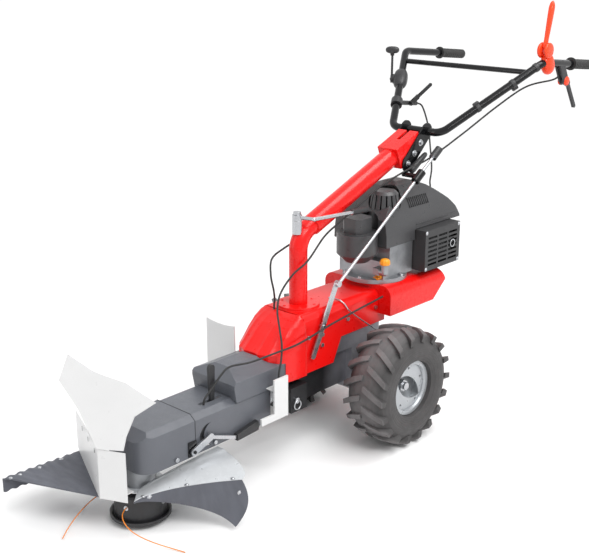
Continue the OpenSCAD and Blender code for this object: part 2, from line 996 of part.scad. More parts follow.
module left_skirt() {
  grid = [for (i = [0 : deck_rows - 1]) [for (j = [0 : deck_cols - 1]) skirt_point(i, j)]];
  color(rubber_grey)
    skin(grid, [for (r = grid) [for (p = r) p - [skirt_t, 0, 0]]]);
}

// The flap lies in one plane, with a waved and turned-down outer edge
flap_u = unit(flap_back - flap_root);
flap_n = unit(cross(flap_u, flap_tip - flap_root));
flap_v = cross(flap_n, flap_u);
function flap_height(x, y) = flap_root.z
  - ((x - flap_root.x) * flap_n.x + (y - flap_root.y) * flap_n.y) / flap_n.z;
function flap_ripple(u) = let (ease = min(1, max(0, u - flap_flat_share) * flap_waves))
  flap_wave * ease * sin(360 * flap_waves * u);
function flap_point(i, j, depth) = let (s = i / (flap_rows - 1), u = j / (flap_cols - 1))
  mix(flap_root, mix(flap_back, flap_tip, u), s) - flap_n * depth + [0, 0, s < 1 ? 0 : flap_ripple(u)];
function flap_edge(j, inset) = let (p = flap_point(flap_rows - 1, j, 0)) [p.x + inset, p.y, p.z - flap_lip];

module right_flap() {
  along = [0 : flap_cols - 1];
  top = [for (i = [flap_near_share, each [1 : flap_rows - 1]]) [for (j = along) flap_point(i, j, 0)]];
  low = [for (i = [flap_near_share, each [1 : flap_rows - 2]]) [for (j = along) flap_point(i, j, skirt_t)]];
  fold = [for (j = along) flap_point(flap_rows - 1, j, skirt_t) + [skirt_t, 0, 0]];
  color(rubber_grey)
    skin([each low, fold, [for (j = along) flap_edge(j, skirt_t)]],
      [each top, [for (j = along) flap_edge(j, 0)]]);
}

/* Guard */
module front_guard() {
  fold = [0, -guard_reach];
  left = fold + guard_left;
  right = fold + guard_right;
  color(sheet_white) {
    in_plane([fold.x, fold.y, 0], unit([guard_left.x, guard_left.y, 0]), [0, 0, 1])
      translate([0, 0, -guard_t])
        linear_extrude(guard_t)
          translate([0, housing_bottom])
            square([norm(guard_left), guard_top - housing_bottom]);
    in_plane([right.x, right.y, 0], unit([-guard_right.x, -guard_right.y, 0]), [0, 0, 1])
      translate([0, 0, -guard_t])
        linear_extrude(guard_t)
          polygon([[0, flap_height(right.x, right.y) + guard_t / 2],
            [norm(guard_right), flap_height(fold.x, fold.y) + guard_t / 2],
            [norm(guard_right), guard_top], [0, guard_right_top]]);
    translate([0, 0, housing_bottom])
      linear_extrude(guard_t)
        polygon([fold, left, [guard_foot_x, guard_foot_y - flange_w], [guard_foot_x, guard_foot_y],
          [-guard_foot_x, guard_foot_y], fold + guard_right * guard_foot_share]);
    in_plane(flap_root + flap_n * slip_gap, flap_u, flap_v)
      linear_extrude(guard_t)
        square([norm(guard_right) - flange_w, flange_w]);
  }
}

module guard_wing() {
  e = unit([guard_left.x, guard_left.y, 0]);
  up = [-e.y * sin(wing_lean), e.x * sin(wing_lean), cos(wing_lean)];
  color(sheet_white)
    in_plane([0, -guard_reach, guard_top], e, up)
      linear_extrude(guard_t)
        polygon([for (p = wing_shares) [p.x * wing_w, p.y * wing_h]]);
}

module wheel_shield() {
  color(sheet_white) {
    lengthwise(shield_y, guard_t)
      difference() {
        translate([shield_x[0], shield_z[0]])
          square([shield_x[1] - shield_x[0], shield_z[1] - shield_z[0]]);
        translate([(shield_x[0] + shield_x[1]) / 2, shield_z[1] + wing_w - shield_sag])
          circle(r = wing_w);
      }
    translate([shield_x[1] - guard_t, shield_y - shield_arm, shield_z[0]])
      cube([guard_t, shield_arm, shield_arm_h]);
    translate([shield_x[1] - guard_t, shield_y - shield_arm, shield_z[0]])
      cube([-rear_half - shield_x[1] + guard_t, guard_t, shield_arm_h]);
  }
}

/* Latch, engagement lever and coupling */
module latch_base() {
  color(jet) {
    across(cover_w / 2, guard_t)
      translate([latch_y - latch_plate[0] / 2, latch_z - latch_plate[1] / 3])
        square(latch_plate);
    rod([cover_w / 2, latch_y, latch_z], [latch_x + latch_arm_t + guard_t, latch_y, latch_z], latch_pin_r);
  }
}

module latch_lever() {
  pivot = [latch_y, latch_z];
  knee = pivot + latch_knee;
  strap = pivot + latch_strap;
  grip = strap + [latch_grip_len, latch_grip_w[0] / 2];
  color(steel)
    across(latch_x, latch_arm_t)
      difference() {
        union() {
          link_outline(pivot, knee, latch_arm_w);
          link_outline(knee, strap, latch_arm_w / 2);
        }
        translate(pivot)
          circle(r = latch_pin_r + run_gap);
      }
  color(jet)
    across(latch_x - (latch_grip_t - latch_arm_t) / 2, latch_grip_t)
      polygon([strap - [0, latch_grip_w[0] / 2], grip - [0, latch_grip_w[1] / 2],
        grip + [latch_arm_w / 2, 0], grip + [0, latch_grip_w[1] / 2], strap + [0, latch_grip_w[0] / 2]]);
}

module engage_lever() {
  color(jet)
    across(slot_x - engage_t / 2, engage_t)
      difference() {
        union() {
          translate([engage_y, engage_z])
            circle(r = 2 * engage_pin_r);
          polygon([[engage_y - engage_w[0] / 2, engage_z], [engage_y + engage_w[0] / 2, engage_z],
            [engage_y + engage_w[1] / 2, engage_z + engage_len],
            [engage_y - engage_w[1] / 2, engage_z + engage_len]]);
          translate([engage_y, engage_z + engage_len])
            circle(r = engage_w[1] / 2);
        }
        translate([engage_y, engage_z])
          circle(r = engage_pin_r + run_gap);
      }
}

module coupling_bracket() {
  y0 = bracket_y[0];
  y1 = bracket_y[1];
  color(sheet_white) {
    across(bracket_x, bracket_t)
      polygon([[y0 - bracket_foot, bracket_z[0]], [y1, bracket_z[0]], [y1, bracket_z[1]],
        [y0, bracket_z[1]], [y0, bracket_z[0] + bracket_foot_h],
        [y0 - bracket_foot, bracket_z[0] + bracket_foot_h]]);
    translate([cover_w / 2, y0, hump_seam_z + bracket_t])
      cube([bracket_x - cover_w / 2 + bracket_t, y1 - y0, bracket_t / 2]);
  }
}

module ring_pin() {
  x0 = coupling_w / 2;
  color(steel) {
    translate([x0 - pin_depth, pin_y, pin_z])
      rotate([0, 90, 0])
        cylinder(h = pin_depth + slip_gap + pin_head_h / 2, r = pin_r);
    translate([x0 + slip_gap, pin_y, pin_z])
      rotate([0, 90, 0])
        cylinder(h = pin_head_h, r = pin_head_r);
    translate([x0 + slip_gap + pin_head_h, pin_y, pin_z - ring_r])
      rotate([0, 90, 0])
        rotate_extrude()
          translate([ring_r, 0])
            circle(r = ring_wire);
  }
}

/* Casing */
// Rounded nose, by shares of its width, reach and height
function nose_flute(a) = let (c = abs(a - 90) / 90)
  c > flute_spread_share ? 0 : pow(abs(sin(flute_count * a)), flute_roundness) * flute_depth;
function nose_ring(row, inset) = let (
    half = (casing_w / 2 + nose_extra) * nose_width_shares[row] - inset,
    reach = max(nose_reach * nose_shares[row].y - inset, overrun))
  [for (k = [0 : nose_cols - 1]) let (
      a = 180 * k / (nose_cols - 1),
      z = mix(nose_foot, casing_top, nose_shares[row].x),
      dent = inset > 0 ? 0 : nose_flute(a) * nose_shares[row].y)
    [power(cos(a), 2 / nose_squareness) * half,
      casing_y - power(sin(a), 2 / nose_squareness) * reach + dent * sin(a),
      z - (row == len(nose_shares) - 1 ? inset / 2 : 0)]];

module casing_nose() {
  rows = len(nose_shares);
  color(red)
    skin([for (i = [0 : rows - 1]) nose_ring(i, casing_wall + flute_depth)],
      [for (i = [0 : rows - 1]) nose_ring(i, 0)]);
}

// Section with round shoulders, drawn in x and z
module round_section(half, low, top, r) {
  for (s = [-1, 1])
    translate([s * (half - r), top - r])
      circle(r = r);
  translate([-half, low])
    square([2 * half, top - r - low]);
  translate([r - half, low])
    square([2 * (half - r), top - low]);
}

module casing_body() {
  half = casing_w / 2;
  color(red)
    difference() {
      union() {
        intersection() {
          lengthwise(casing_y, casing_back - casing_y)
            round_section(half, casing_low, casing_top, casing_shoulder);
          across(-half, 2 * half)
            polygon([[casing_y, casing_low], [casing_notch_y[0], casing_low],
              [casing_notch_y[1], casing_notch_z], [casing_back, casing_notch_z],
              [casing_back, casing_top], [casing_y, casing_top]]);
        }
        lengthwise(casing_y, casing_wall)
          polygon([each [for (i = [0 : len(nose_shares) - 1]) nose_corner(i, 1)],
            each [for (i = [len(nose_shares) - 1 : -1 : 0]) nose_corner(i, -1)]]);
        translate([0, column_y, casing_top - casing_wall])
          cylinder(h = collar_h + casing_wall, r = collar_r);
      }
      lengthwise(casing_y - overrun, casing_back - casing_y + 2 * overrun)
        round_section(half - casing_wall, casing_low - overrun, casing_top - casing_wall,
          casing_shoulder - casing_wall);
    }
}

function nose_corner(i, side) = [side * (casing_w / 2 + nose_extra) * nose_width_shares[i],
  mix(nose_foot, casing_top, nose_shares[i].x)];

module tray_profile(inset) {
  low = tray_low - (inset > 0 ? overrun : 0);
  top = tray_top - inset;
  polygon([[tray_front, low], [tray_back_low - inset, low], [tray_back_mid - inset, tray_back_z],
    [tray_back_top - inset, top], [tray_front, top]]);
}

module engine_tray() {
  half = tray_w / 2;
  color(red)
    difference() {
      intersection() {
        lengthwise(tray_front, tray_back_mid - tray_front)
          round_section(half, tray_low, tray_top, tray_shoulder);
        across(-half, 2 * half)
          tray_profile(0);
      }
      intersection() {
        lengthwise(tray_front + tray_wall, tray_back_mid - tray_front)
          round_section(half - tray_wall, tray_low - overrun, tray_top - tray_wall,
            tray_shoulder - tray_wall);
        across(-half, 2 * half)
          tray_profile(tray_wall);
      }
      lengthwise(tray_front - overrun, tray_wall + 2 * overrun)
        round_section(casing_w / 2, casing_low, casing_top, casing_shoulder);
    }
}

module gearbox() {
  half = casing_w / 2 - casing_wall;
  inner = half - gearbox_wall;
  inner_foot_r = gearbox_foot_r - gearbox_wall;
  color(cast_grey)
    difference() {
      union() {
        lengthwise(gearbox_front, gearbox_back - gearbox_front)
          translate([-half, gearbox_low])
            square([2 * half, gearbox_top - gearbox_low]);
        translate([-gearbox_neck_w / 2, coupling_y, coupling_z[0]])
          cube([gearbox_neck_w, axle_y - coupling_y, casing_notch_z - coupling_z[0]]);
        translate([-coupling_w / 2, coupling_y, coupling_z[0]])
          cube([coupling_w, coupling_len, coupling_z[1] - coupling_z[0]]);
        translate([-half, axle_y - gearbox_foot_r, axle_z])
          cube([2 * half, 2 * gearbox_foot_r, casing_notch_z - axle_z]);
        rod([-half, axle_y, axle_z], [half, axle_y, axle_z], gearbox_foot_r);
        rod([-axle_case, axle_y, axle_z], [axle_case, axle_y, axle_z], gearbox_boss_r);
      }
      lengthwise(gearbox_front + gearbox_wall, gearbox_back - gearbox_front - 2 * gearbox_wall)
        translate([-inner, gearbox_low + gearbox_wall])
          square([2 * inner, gearbox_top - gearbox_low - 2 * gearbox_wall]);
      translate([-inner, axle_y - inner_foot_r, axle_z])
        cube([2 * inner, 2 * inner_foot_r, gearbox_low - axle_z + 2 * gearbox_wall]);
      rod([-inner, axle_y, axle_z], [inner, axle_y, axle_z], inner_foot_r);
      rod([-wheel_track, axle_y, axle_z], [wheel_track, axle_y, axle_z], axle_d / 2 + run_gap);
      translate([coupling_w / 2 - pin_depth - air_gap, pin_y, pin_z])
        rotate([0, 90, 0])
          cylinder(h = pin_depth + 2 * air_gap, r = pin_r + run_gap);
      translate([0, coupling_y - overrun, shaft_z])
        rotate([-90, 0, 0])
          cylinder(h = socket_depth + overrun, r = shaft_d / 2 + run_gap);
    }
}

module screw_head(at, side) {
  translate(at)
    rotate([0, side * 90, 0])
      cylinder(h = bolt_h, r = bolt_r);
}

module screws() {
  color(steel) {
    for (s = [-1, 1]) {
      screw_head([s * cover_w / 2, seam_y - cover_screw_back, cover_bottom + 2 * bolt_r], s);
      screw_head([s * rear_half, seam_y + cover_screw_back, cover_bottom + 2 * bolt_r], s);
      for (p = case_bolt_at)
        screw_head([s * casing_w / 2, p.x + axle_y, p.y], s);
    }
    rod([casing_w / 2, gear_y, gear_z], [gear_x + gear_t + guard_t, gear_y, gear_z], gear_pin_r);
  }
}

/* Wheels */
function tyre_half(r) = let (
    span = r < tyre_belly_r ? tyre_belly_r - rim_d / 2 + tyre_tuck : tyre_crown_r - tyre_belly_r,
    share = abs(r - tyre_belly_r) / span)
  pow(max(1 - pow(share, tyre_squareness), 0), 1 / tyre_squareness);
function tyre_side(inset) = [for (k = [0 : tyre_points]) let (
    r = mix(rim_d / 2 + tyre_bead, tyre_crown_r, sin(90 * k / tyre_points)),
    crown = max(0, r - tyre_belly_r) / (tyre_crown_r - tyre_belly_r))
  [r - inset * crown, tyre_half(r) * (tyre_w / 2) - inset]];
lug_envelope = [[lug_root_r, tyre_w / 2], [lug_root_r, -tyre_w / 2],
  each [for (s = lug_envelope_shares) [tyre_d / 2 - crown_drop * s * s, s * tyre_w / 2]]];
function flipped(p) = [for (i = [len(p) - 1 : -1 : 0]) [p[i].x, -p[i].y]];

module tyre_lugs(side) {
  lug = [[lug_in, 0], [lug_in, lug_bar], [tyre_w * lug_mid_share / 2, lug_bar + lug_rise[0]],
    [tyre_w / 2, lug_bar + lug_rise[1]], [tyre_w / 2, lug_rise[1]],
    [tyre_w * lug_mid_share / 2 + lug_in, lug_rise[0]]];
  for (i = [0 : lug_count - 1])
    rotate((i + side / 4) * 360 / lug_count)
      translate([lug_root_r, 0, 0])
        rotate([0, 90, 0])
          linear_extrude(tyre_d / 2 - lug_root_r + overrun)
            polygon([for (p = lug) [side * p.x, p.y]]);
}

module tyre() {
  color(tyre_grey)
    difference() {
      union() {
        rotate_extrude()
          polygon([[barrel_r, bead_half], [rim_d / 2 + slip_gap, bead_half], each tyre_side(0),
            each flipped(tyre_side(0)), [rim_d / 2 + slip_gap, -bead_half], [barrel_r, -bead_half]]);
        intersection() {
          rotate_extrude()
            polygon(lug_envelope);
          union() {
            tyre_lugs(1);
            tyre_lugs(-1);
          }
        }
      }
      rotate_extrude()
        polygon([[barrel_r - overrun, bead_half - tyre_wall], [rim_d / 2 + tyre_bead, bead_half - tyre_wall],
          each tyre_side(tyre_wall), each flipped(tyre_side(tyre_wall)),
          [rim_d / 2 + tyre_bead, tyre_wall - bead_half], [barrel_r - overrun, tyre_wall - bead_half]]);
    }
}

module at_wheel(side) {
  translate([side * wheel_track / 2, axle_y, axle_z])
    rotate([0, side * 90, 0])
      children();
}

module left_tyre() {
  at_wheel(1)
    tyre();
}

module right_tyre() {
  at_wheel(-1)
    tyre();
}

module lens_outline() {
  intersection() {
    translate([lens_r - lens_half, 0])
      circle(r = lens_r);
    translate([lens_half - lens_r, 0])
      circle(r = lens_r);
  }
}

module rim() {
  half = rim_w / 2;
  disc_z = half - disc_inset - disc_t;
  color(cast_grey)
    difference() {
      union() {
        rotate_extrude()
          polygon([[rim_d / 2, half], [rim_d / 2, half - rim_flange], [barrel_r, half - rim_flange],
            [barrel_r, rim_flange - half], [rim_d / 2, rim_flange - half], [rim_d / 2, -half],
            [barrel_r, -half], [barrel_r - rim_wall, rim_flange - half],
            [barrel_r - rim_wall, half - rim_flange], [barrel_r, half]]);
        translate([0, 0, disc_z])
          cylinder(h = disc_t, r = barrel_r - rim_wall / 2);
        translate([0, 0, disc_z - hub_inset])
          cylinder(h = disc_t, r = barrel_r - rim_wall / 2);
        translate([0, 0, hub_back])
          cylinder(h = disc_z - hub_inset - hub_back + disc_t, r = hub_r);
      }
      translate([0, 0, disc_z - overrun])
        linear_extrude(disc_t + 2 * overrun)
          rotate(lens_tilt)
            lens_outline();
      for (i = [0 : rim_hole_count - 1])
        rotate(lens_tilt + (i + 1 / 2) * 360 / rim_hole_count)
          translate([rim_hole_pcd_r, 0, disc_z - overrun])
            cylinder(h = disc_t + 2 * overrun, r = rim_hole_r);
      translate([0, 0, -rim_w])
        cylinder(h = 2 * rim_w, r = axle_d / 2);
    }
}

module left_rim() {
  at_wheel(1)
    rim();
}

module right_rim() {
  at_wheel(-1)
    rim();
}

// The axle with the nuts and caps on its ends
module axle() {
  half = wheel_track / 2 + rim_w / 2 - disc_inset - disc_t - hub_inset + disc_t;
  color(steel) {
    rod([-half, axle_y, axle_z], [half, axle_y, axle_z], axle_d / 2);
    for (s = [-1, 1])
      translate([s * half, axle_y, axle_z])
        rotate([0, s * 90, 0]) {
          cylinder(h = nut_h, r = nut_r, $fn = 6);
          cylinder(h = nut_h + cap_h, r = cap_r);
        }
  }
}

/* Column and clamp */
arm_dir = [0, cos(arm_slope), sin(arm_slope)];
arm_up = [0, -sin(arm_slope), cos(arm_slope)];
knee = [0, column_y, column_knee_z];
arm_len = (arm_end_y - column_y) / cos(arm_slope);
arm_end = knee + arm_dir * arm_len;
column_foot = [0, column_y, casing_top + collar_h];

module column_body() {
  bent_bar([column_foot, knee, arm_end], column_d / 2, column_bend);
  rod(knee + arm_dir * sleeve_start, arm_end, arm_d / 2);
}

module column_hollow() {
  bent_bar([column_foot, knee, arm_end], column_d / 2 - column_wall, column_bend);
  rod(knee + arm_dir * (sleeve_start + column_wall), arm_end, arm_d / 2 - column_wall);
}

module column() {
  color(red)
    difference() {
      union() {
        column_body();
        in_plane(arm_end - arm_dir * arm_block_len, [1, 0, 0], arm_dir)
          translate([-plate_gap, 0, -arm_block_h / 2])
            cube([2 * plate_gap, arm_block_len, arm_block_h]);
      }
      column_hollow();
      in_plane(arm_end - arm_dir * arm_block_len / 2, [1, 0, 0], arm_dir)
        translate([-arm_slot_w / 2, 0, 0])
          cube([arm_slot_w, arm_block_len, arm_block_h]);
    }
}

clamp_at = [0, column_y - clamp_back, 0];

module swivel_clamp() {
  color(steel)
    difference() {
      translate(clamp_at)
        union() {
          translate([0, 0, clamp_z[0]])
            cylinder(h = clamp_z[1] - clamp_z[0], r = clamp_r);
          translate([0, 0, clamp_z[1]])
            cylinder(h = swivel_hub_h + clamp_cap_h, r = clamp_pin_r);
          translate([0, 0, clamp_z[1] + swivel_hub_h + slip_gap])
            cylinder(h = clamp_cap_h, r = clamp_r - guard_t);
        }
      column_body();
    }
}

module swivel_lever() {
  hub = clamp_at + [0, 0, clamp_z[1] + slip_gap / 2];
  mid = hub + [0, 0, swivel_hub_h / 2];
  side = mid + swivel_side;
  tip = side + swivel_reach;
  color(steel)
    difference() {
      union() {
        translate(hub)
          cylinder(h = swivel_hub_h - slip_gap / 2, r = clamp_r);
        rod(mid + unit(swivel_side) * clamp_r * swivel_root_share, side, swivel_rod_r);
        translate(side)
          sphere(r = swivel_rod_r + overrun);
        rod(side, tip, swivel_rod_r);
      }
      translate(hub - [0, 0, overrun])
        cylinder(h = swivel_hub_h + 2 * overrun, r = clamp_pin_r + run_gap);
    }
  color(jet)
    rod(tip - unit(swivel_reach), tip + unit(swivel_reach) * swivel_grip_len, swivel_grip_r);
}

stem = [0, stem_y, stem_z];

module clamp_plates() {
  foot = [plate_foot[0], plate_foot[1]];
  color(jet) {
    for (x = [-plate_gap - plate_t, plate_gap])
      across(x, plate_t)
        difference() {
          link_outline(foot, [stem_y, stem_z], plate_r);
          translate([stem_y, stem_z])
            circle(r = bar_d / 2 + run_gap);
        }
    difference() {
      union() {
        rod([plate_gap + plate_t, guide_at.y, guide_at.z], [gear_rod_x, guide_at.y, guide_at.z], guide_bar_r);
        from_to(guide_at - rod_dir * guide_len / 2, guide_at + rod_dir * guide_len / 2)
          cylinder(h = guide_len, r = guide_r);
      }
      rod(guide_at - rod_dir * guide_len, guide_at + rod_dir * guide_len, gear_rod_r + guide_play);
    }
  }
}

/* Handlebar */
module handlebar_stem() {
  color(jet)
    rod([-stem_half, stem_y, stem_z], [stem_half, stem_y, stem_z], bar_d / 2);
}

arm_low = [stem_half + arm_corner, stem_y, stem_z];
arm_high = [bend_x, bend_y, bend_z];
grip_end = [grip_spread / 2 - grip_toe, grip_y + grip_len, grip_z - grip_drop];
grip_dir = unit(grip_end - arm_high);
arm_rise = unit(arm_high - arm_low);
function mirrored(p, side) = [side * p.x, p.y, p.z];

function arm_points(side) = [for (p = [[stem_half, stem_y, stem_z], arm_low, arm_high, grip_end])
  mirrored(p, side)];

module handle_arm(side, r) {
  bent_bar(arm_points(side), r, bar_bend);
}

module arm_tube(side) {
  color(jet)
    bent_bar(arm_points(side), bar_d / 2, bar_bend, bar_d / 2 - bar_wall, run_gap / 2);
}

module left_arm() {
  arm_tube(1);
}

module right_arm() {
  arm_tube(-1);
}

module cross_tube() {
  at = on_arm(cross_share);
  color(jet)
    difference() {
      rod([-at.x, at.y, at.z], at, cross_r);
      handle_arm(1, bar_d / 2 + run_gap);
      handle_arm(-1, bar_d / 2 + run_gap);
    }
}

module grip(side) {
  r = grip_d / 2;
  pitch = grip_len / grip_ribs;
  color(jet)
    from_to(mirrored(grip_end - grip_dir * grip_len, side), mirrored(grip_end, side))
      rotate_extrude()
        polygon([[bar_d / 2, 0], [r + grip_flange, 0], [r + grip_flange, grip_flange], [r, grip_flange],
          each [for (i = [1 : grip_ribs - 2]) let (z0 = (i + grip_rib_share) * pitch, z1 = (i + 1) * pitch)
            each [[r, z0], [r - grip_rib, z0 + grip_rib], [r - grip_rib, z1 - grip_rib], [r, z1]]],
          [r, grip_len], [r - grip_flange, grip_len + grip_flange], [0, grip_len + grip_flange],
          [0, grip_len], [bar_d / 2, grip_len]]);
}

module left_grip() {
  grip(1);
}

module right_grip() {
  grip(-1);
}

/* Hand controls */
function on_grip_bar(y) = arm_high + grip_dir * ((y - arm_high.y) / grip_dir.y);

safety_at = on_grip_bar(safety_y);
drive_at = on_grip_bar(drive_y);

module left_controls() {
  color(orange)
    difference() {
      union() {
        across(safety_at.x - safety_w / 2, safety_w)
          polygon([for (p = safety_shares) [safety_at.y + p.x * safety_h, safety_at.z + p.y * safety_h]]);
        for (x = [drive_at.x - drive_t, drive_at.x + drive_lever_t / 2 + slip_gap])
          across(x, drive_t - drive_lever_t / 2 - slip_gap)
            link_outline([drive_at.y - drive_reach, drive_at.z], [drive_at.y, drive_at.z - drive_drop],
              drive_ring_r);
        rod(drive_at - [drive_t, 0, drive_drop], drive_at + [drive_t, 0, -drive_drop], drive_pin_r);
      }
      rod(arm_high, grip_end, bar_d / 2 + run_gap);
      rod(arm_high - arm_rise * safety_h, arm_high + arm_rise * bar_d / 2, bar_d / 2 + bend_room);
      rod(arm_high - grip_dir * bar_d / 2, arm_high + grip_dir * bar_bend / 2, bar_d / 2 + bend_room);
      translate([safety_at.x - safety_slot / 2, safety_at.y - safety_h, safety_at.z + safety_floor])
        cube([safety_slot, 2 * safety_h, safety_h]);
    }
  color(orange)
    across(safety_at.x - safety_slot / 2, safety_slot)
      translate([safety_at.y + safety_pivot.x, safety_at.z + safety_pivot.y])
        circle(r = safety_pin_r);
}

module safety_lever() {
  y = safety_at.y + safety_pivot.x;
  z = safety_at.z + safety_pivot.y;
  color(orange)
    across(safety_at.x - safety_t / 2, safety_t)
      difference() {
        union() {
          translate([y, z])
            circle(r = safety_hub_r);
          polygon([[y - safety_hub_r, z], [y + safety_hub_r, z],
            [y + safety_reach.x + safety_tip, z + safety_reach.y],
            [y + safety_reach.x - safety_tip, z + safety_reach.y]]);
          translate([y + safety_reach.x, z + safety_reach.y])
            circle(r = safety_tip);
        }
        translate([y, z])
          circle(r = safety_pin_r + run_gap);
      }
}

module drive_lever() {
  pivot = [drive_at.y, drive_at.z - drive_drop];
  color(jet)
    across(drive_at.x - drive_lever_t / 2, drive_lever_t)
      difference() {
        union() {
          link_outline(pivot, pivot + drive_elbow, drive_ring_r * drive_hub_share);
          link_outline(pivot + drive_elbow, pivot + drive_tip, drive_blade_r);
        }
        translate(pivot)
          circle(r = drive_pin_r + run_gap);
      }
}

right_dir = mirrored(arm_rise, -1);
right_side = unit(cross([0, 0, 1], right_dir));
throttle_at = mirrored(on_arm(throttle_share), -1);
throttle_face = throttle_at + right_side * throttle_out;
clutch_at = mirrored(on_arm(clutch_share), -1);
clutch_end = clutch_at + clutch_reach;
clutch_pivot = mix(clutch_at, clutch_end, clutch_pivot_share);

module right_controls() {
  color(jet)
    difference() {
      union() {
        rod(throttle_at - right_dir * throttle_half, throttle_at + right_dir * throttle_half, control_r);
        rod(throttle_at, throttle_face, throttle_r);
        rod(throttle_at, throttle_face + right_side * (throttle_t + guard_t), throttle_pin_r);
        rod(clutch_at - right_dir * clutch_half, clutch_at + right_dir * clutch_half, control_r);
        rod(clutch_at, clutch_end, clutch_r);
        rod(clutch_pivot, clutch_pivot + [clutch_r + clutch_t + 2 * guard_t, 0, 0], clutch_pin_r);
      }
      handle_arm(-1, bar_d / 2 + run_gap);
    }
}

module throttle_lever() {
  hub = throttle_face + right_side * slip_gap;
  out = hub + right_side * throttle_t;
  mid = (hub + out) / 2;
  knob = mid + [0, 0, throttle_len];
  color(jet)
    difference() {
      union() {
        rod(hub, out, throttle_r - guard_t);
        rod(mid + [0, 0, throttle_pin_r + guard_t], knob, throttle_t / 2);
        rod(knob - right_side * throttle_knob_t / 2, knob + right_side * throttle_knob_t / 2, throttle_knob_r);
      }
      rod(hub - right_side, out + right_side, throttle_pin_r + run_gap);
    }
}

module clutch_lever() {
  pivot = [clutch_pivot.y, clutch_pivot.z];
  color(jet)
    across(clutch_pivot.x + clutch_r + slip_gap, clutch_t)
      difference() {
        union() {
          link_outline(pivot, pivot + clutch_blade / 3, clutch_hub_r);
          link_outline(pivot, pivot + clutch_blade, clutch_blade_r);
        }
        translate(pivot)
          circle(r = clutch_pin_r + run_gap);
      }
}

/* Gear linkage */
module gear_lever() {
  pivot = [gear_y, gear_z];
  color(steel)
    across(gear_x, gear_t)
      difference() {
        link_outline(pivot + gear_low, pivot + gear_high, gear_w / 2);
        translate(pivot)
          circle(r = gear_pin_r + run_gap);
        translate(pivot + gear_high)
          circle(r = gear_eye_pin_r + run_gap);
      }
}

module gear_rod() {
  color(steel) {
    rod(rod_foot + rod_dir * gear_eye_r / 2, rod_tip, gear_rod_r);
    rod(rod_foot - [gear_rod_r, 0, 0], rod_foot + [gear_rod_r, 0, 0], gear_eye_r);
    rod([gear_x - guard_t, rod_foot.y, rod_foot.z], rod_foot - [gear_rod_r / 2, 0, 0], gear_eye_pin_r);
  }
  color(jet)
    rod(rod_tip - rod_dir * overrun, rod_tip + rod_dir * knob_len, knob_r);
}

/* Cables */
under_arm = function (y, x) [x, y, knee.z + (y - knee.y) * tan(arm_slope) - cable_under];
function on_arm(share) = mix(arm_low, arm_high, share);
cable_routes = [
  [drive_at + [-15.6, -14, -46], drive_at + [-22, -44, -54], on_arm(0.85) + [-16, 20, -48],
    on_arm(0.55) + [-4, 12, -40], on_arm(0.2) + [0, 10, -50], [84, stem_y - 30, stem_z - 78],
    under_arm(stem_y - 130, 54), under_arm(axle_y + 120, 30), under_arm(axle_y, 30),
    under_arm(column_y + 150, 30), under_arm(column_y + 80, 34), [40, column_y, 612],
    [34, column_y - 60, 580], [22, column_y - 100, 530], [34, column_y - 128, 486],
    [66, casing_y - 84, 440], [92, casing_y - 102, 400], [108, casing_y - 122, 362],
    [112, casing_y - 136, 326], [112, casing_y - 138, hump_seam_z + 18]],
  [clutch_end + [0, 0.6, -0.1], clutch_end + [6, 30, -14], clutch_end + [30, 36, -80],
    [-76, stem_y + 190, 836], [-24, stem_y + 130, 780], [20, stem_y + 62, 752], [36, stem_y + 42, 741],
    [38, stem_y + 40, 724.2]],
  [[118, tray_front - 14, 448], [110, axle_y - 80, 430], [110, column_y + 30, 416],
    [110, casing_y + 10, 402], [108, casing_y - 60, 392], [104, casing_y - 140, 390],
    [80, hump_front + 76, 378], [54, hump_front + 18, 374], [51, hump_front - 14, 358],
    [50, hump_front - 48, 328], [48, hump_front - 76, 304], [48, hump_front - 82, rear_top + 0.6]],
  [under_arm(column_y + 60, -34), [-40, column_y - 20, 640], [-30, column_y - 84, 622],
    [-12, column_y - 108, 580], [-10, column_y - 98, 530], [-20, column_y - 84, 494],
    [-24, column_y - 82, casing_top + 16], [-24, column_y - 82, casing_top + 0.5]]];

module control_cables() {
  color(jet)
    for (route = cable_routes)
      swept(curve(route, cable_steps), cable_r, cable_sides);
}

/* Engine */
module crankcase() {
  color(cast_grey)
    difference() {
      union() {
        translate([crank.x, crank.y, tray_top])
          cylinder(h = base_t, r = base_r);
        translate([block_x[0], block_y[0], tray_top + base_t])
          cube([block_x[1] - block_x[0], block_y[1] - block_y[0], block_step - tray_top - base_t]);
        translate([block_x[0], block_back, block_step])
          cube([block_x[1] - block_x[0], block_y[1] - block_back, block_top - block_step]);
        for (i = [0 : fin_count - 1])
          translate([fin_x[0], block_y[1], fin_z + i * fin_pitch])
            cube([fin_x[1] - fin_x[0], fin_len, fin_t]);
        translate([fin_x[0] + fin_t, block_y[1], fin_z])
          cube([fin_x[1] - fin_x[0] - 2 * fin_t, fin_len - fin_t, (fin_count - 1) * fin_pitch + fin_t]);
        rod([block_x[1] - filler_r, filler_y, filler_z], [filler_x, filler_y, filler_z], filler_r);
        rod([filler_x, filler_y, filler_z], [filler_x, filler_y, filler_top], filler_r);
        translate([filler_x, filler_y, filler_z])
          sphere(r = filler_r);
        translate([block_x[1] - 2 * filler_r, filler_y - filler_r, filler_z - filler_r])
          cube([2 * filler_r, block_y[0] - filler_y + 2 * filler_r, 2 * filler_r]);
      }
      rod([filler_x, filler_y, filler_z], [filler_x, filler_y, filler_top + overrun], cap_stem_r + run_gap);
      rod([plug_x, block_y[0] - overrun, plug_z], [plug_x, block_y[0] + plug_depth + slip_gap, plug_z],
        plug_stem_r + run_gap);
    }
}

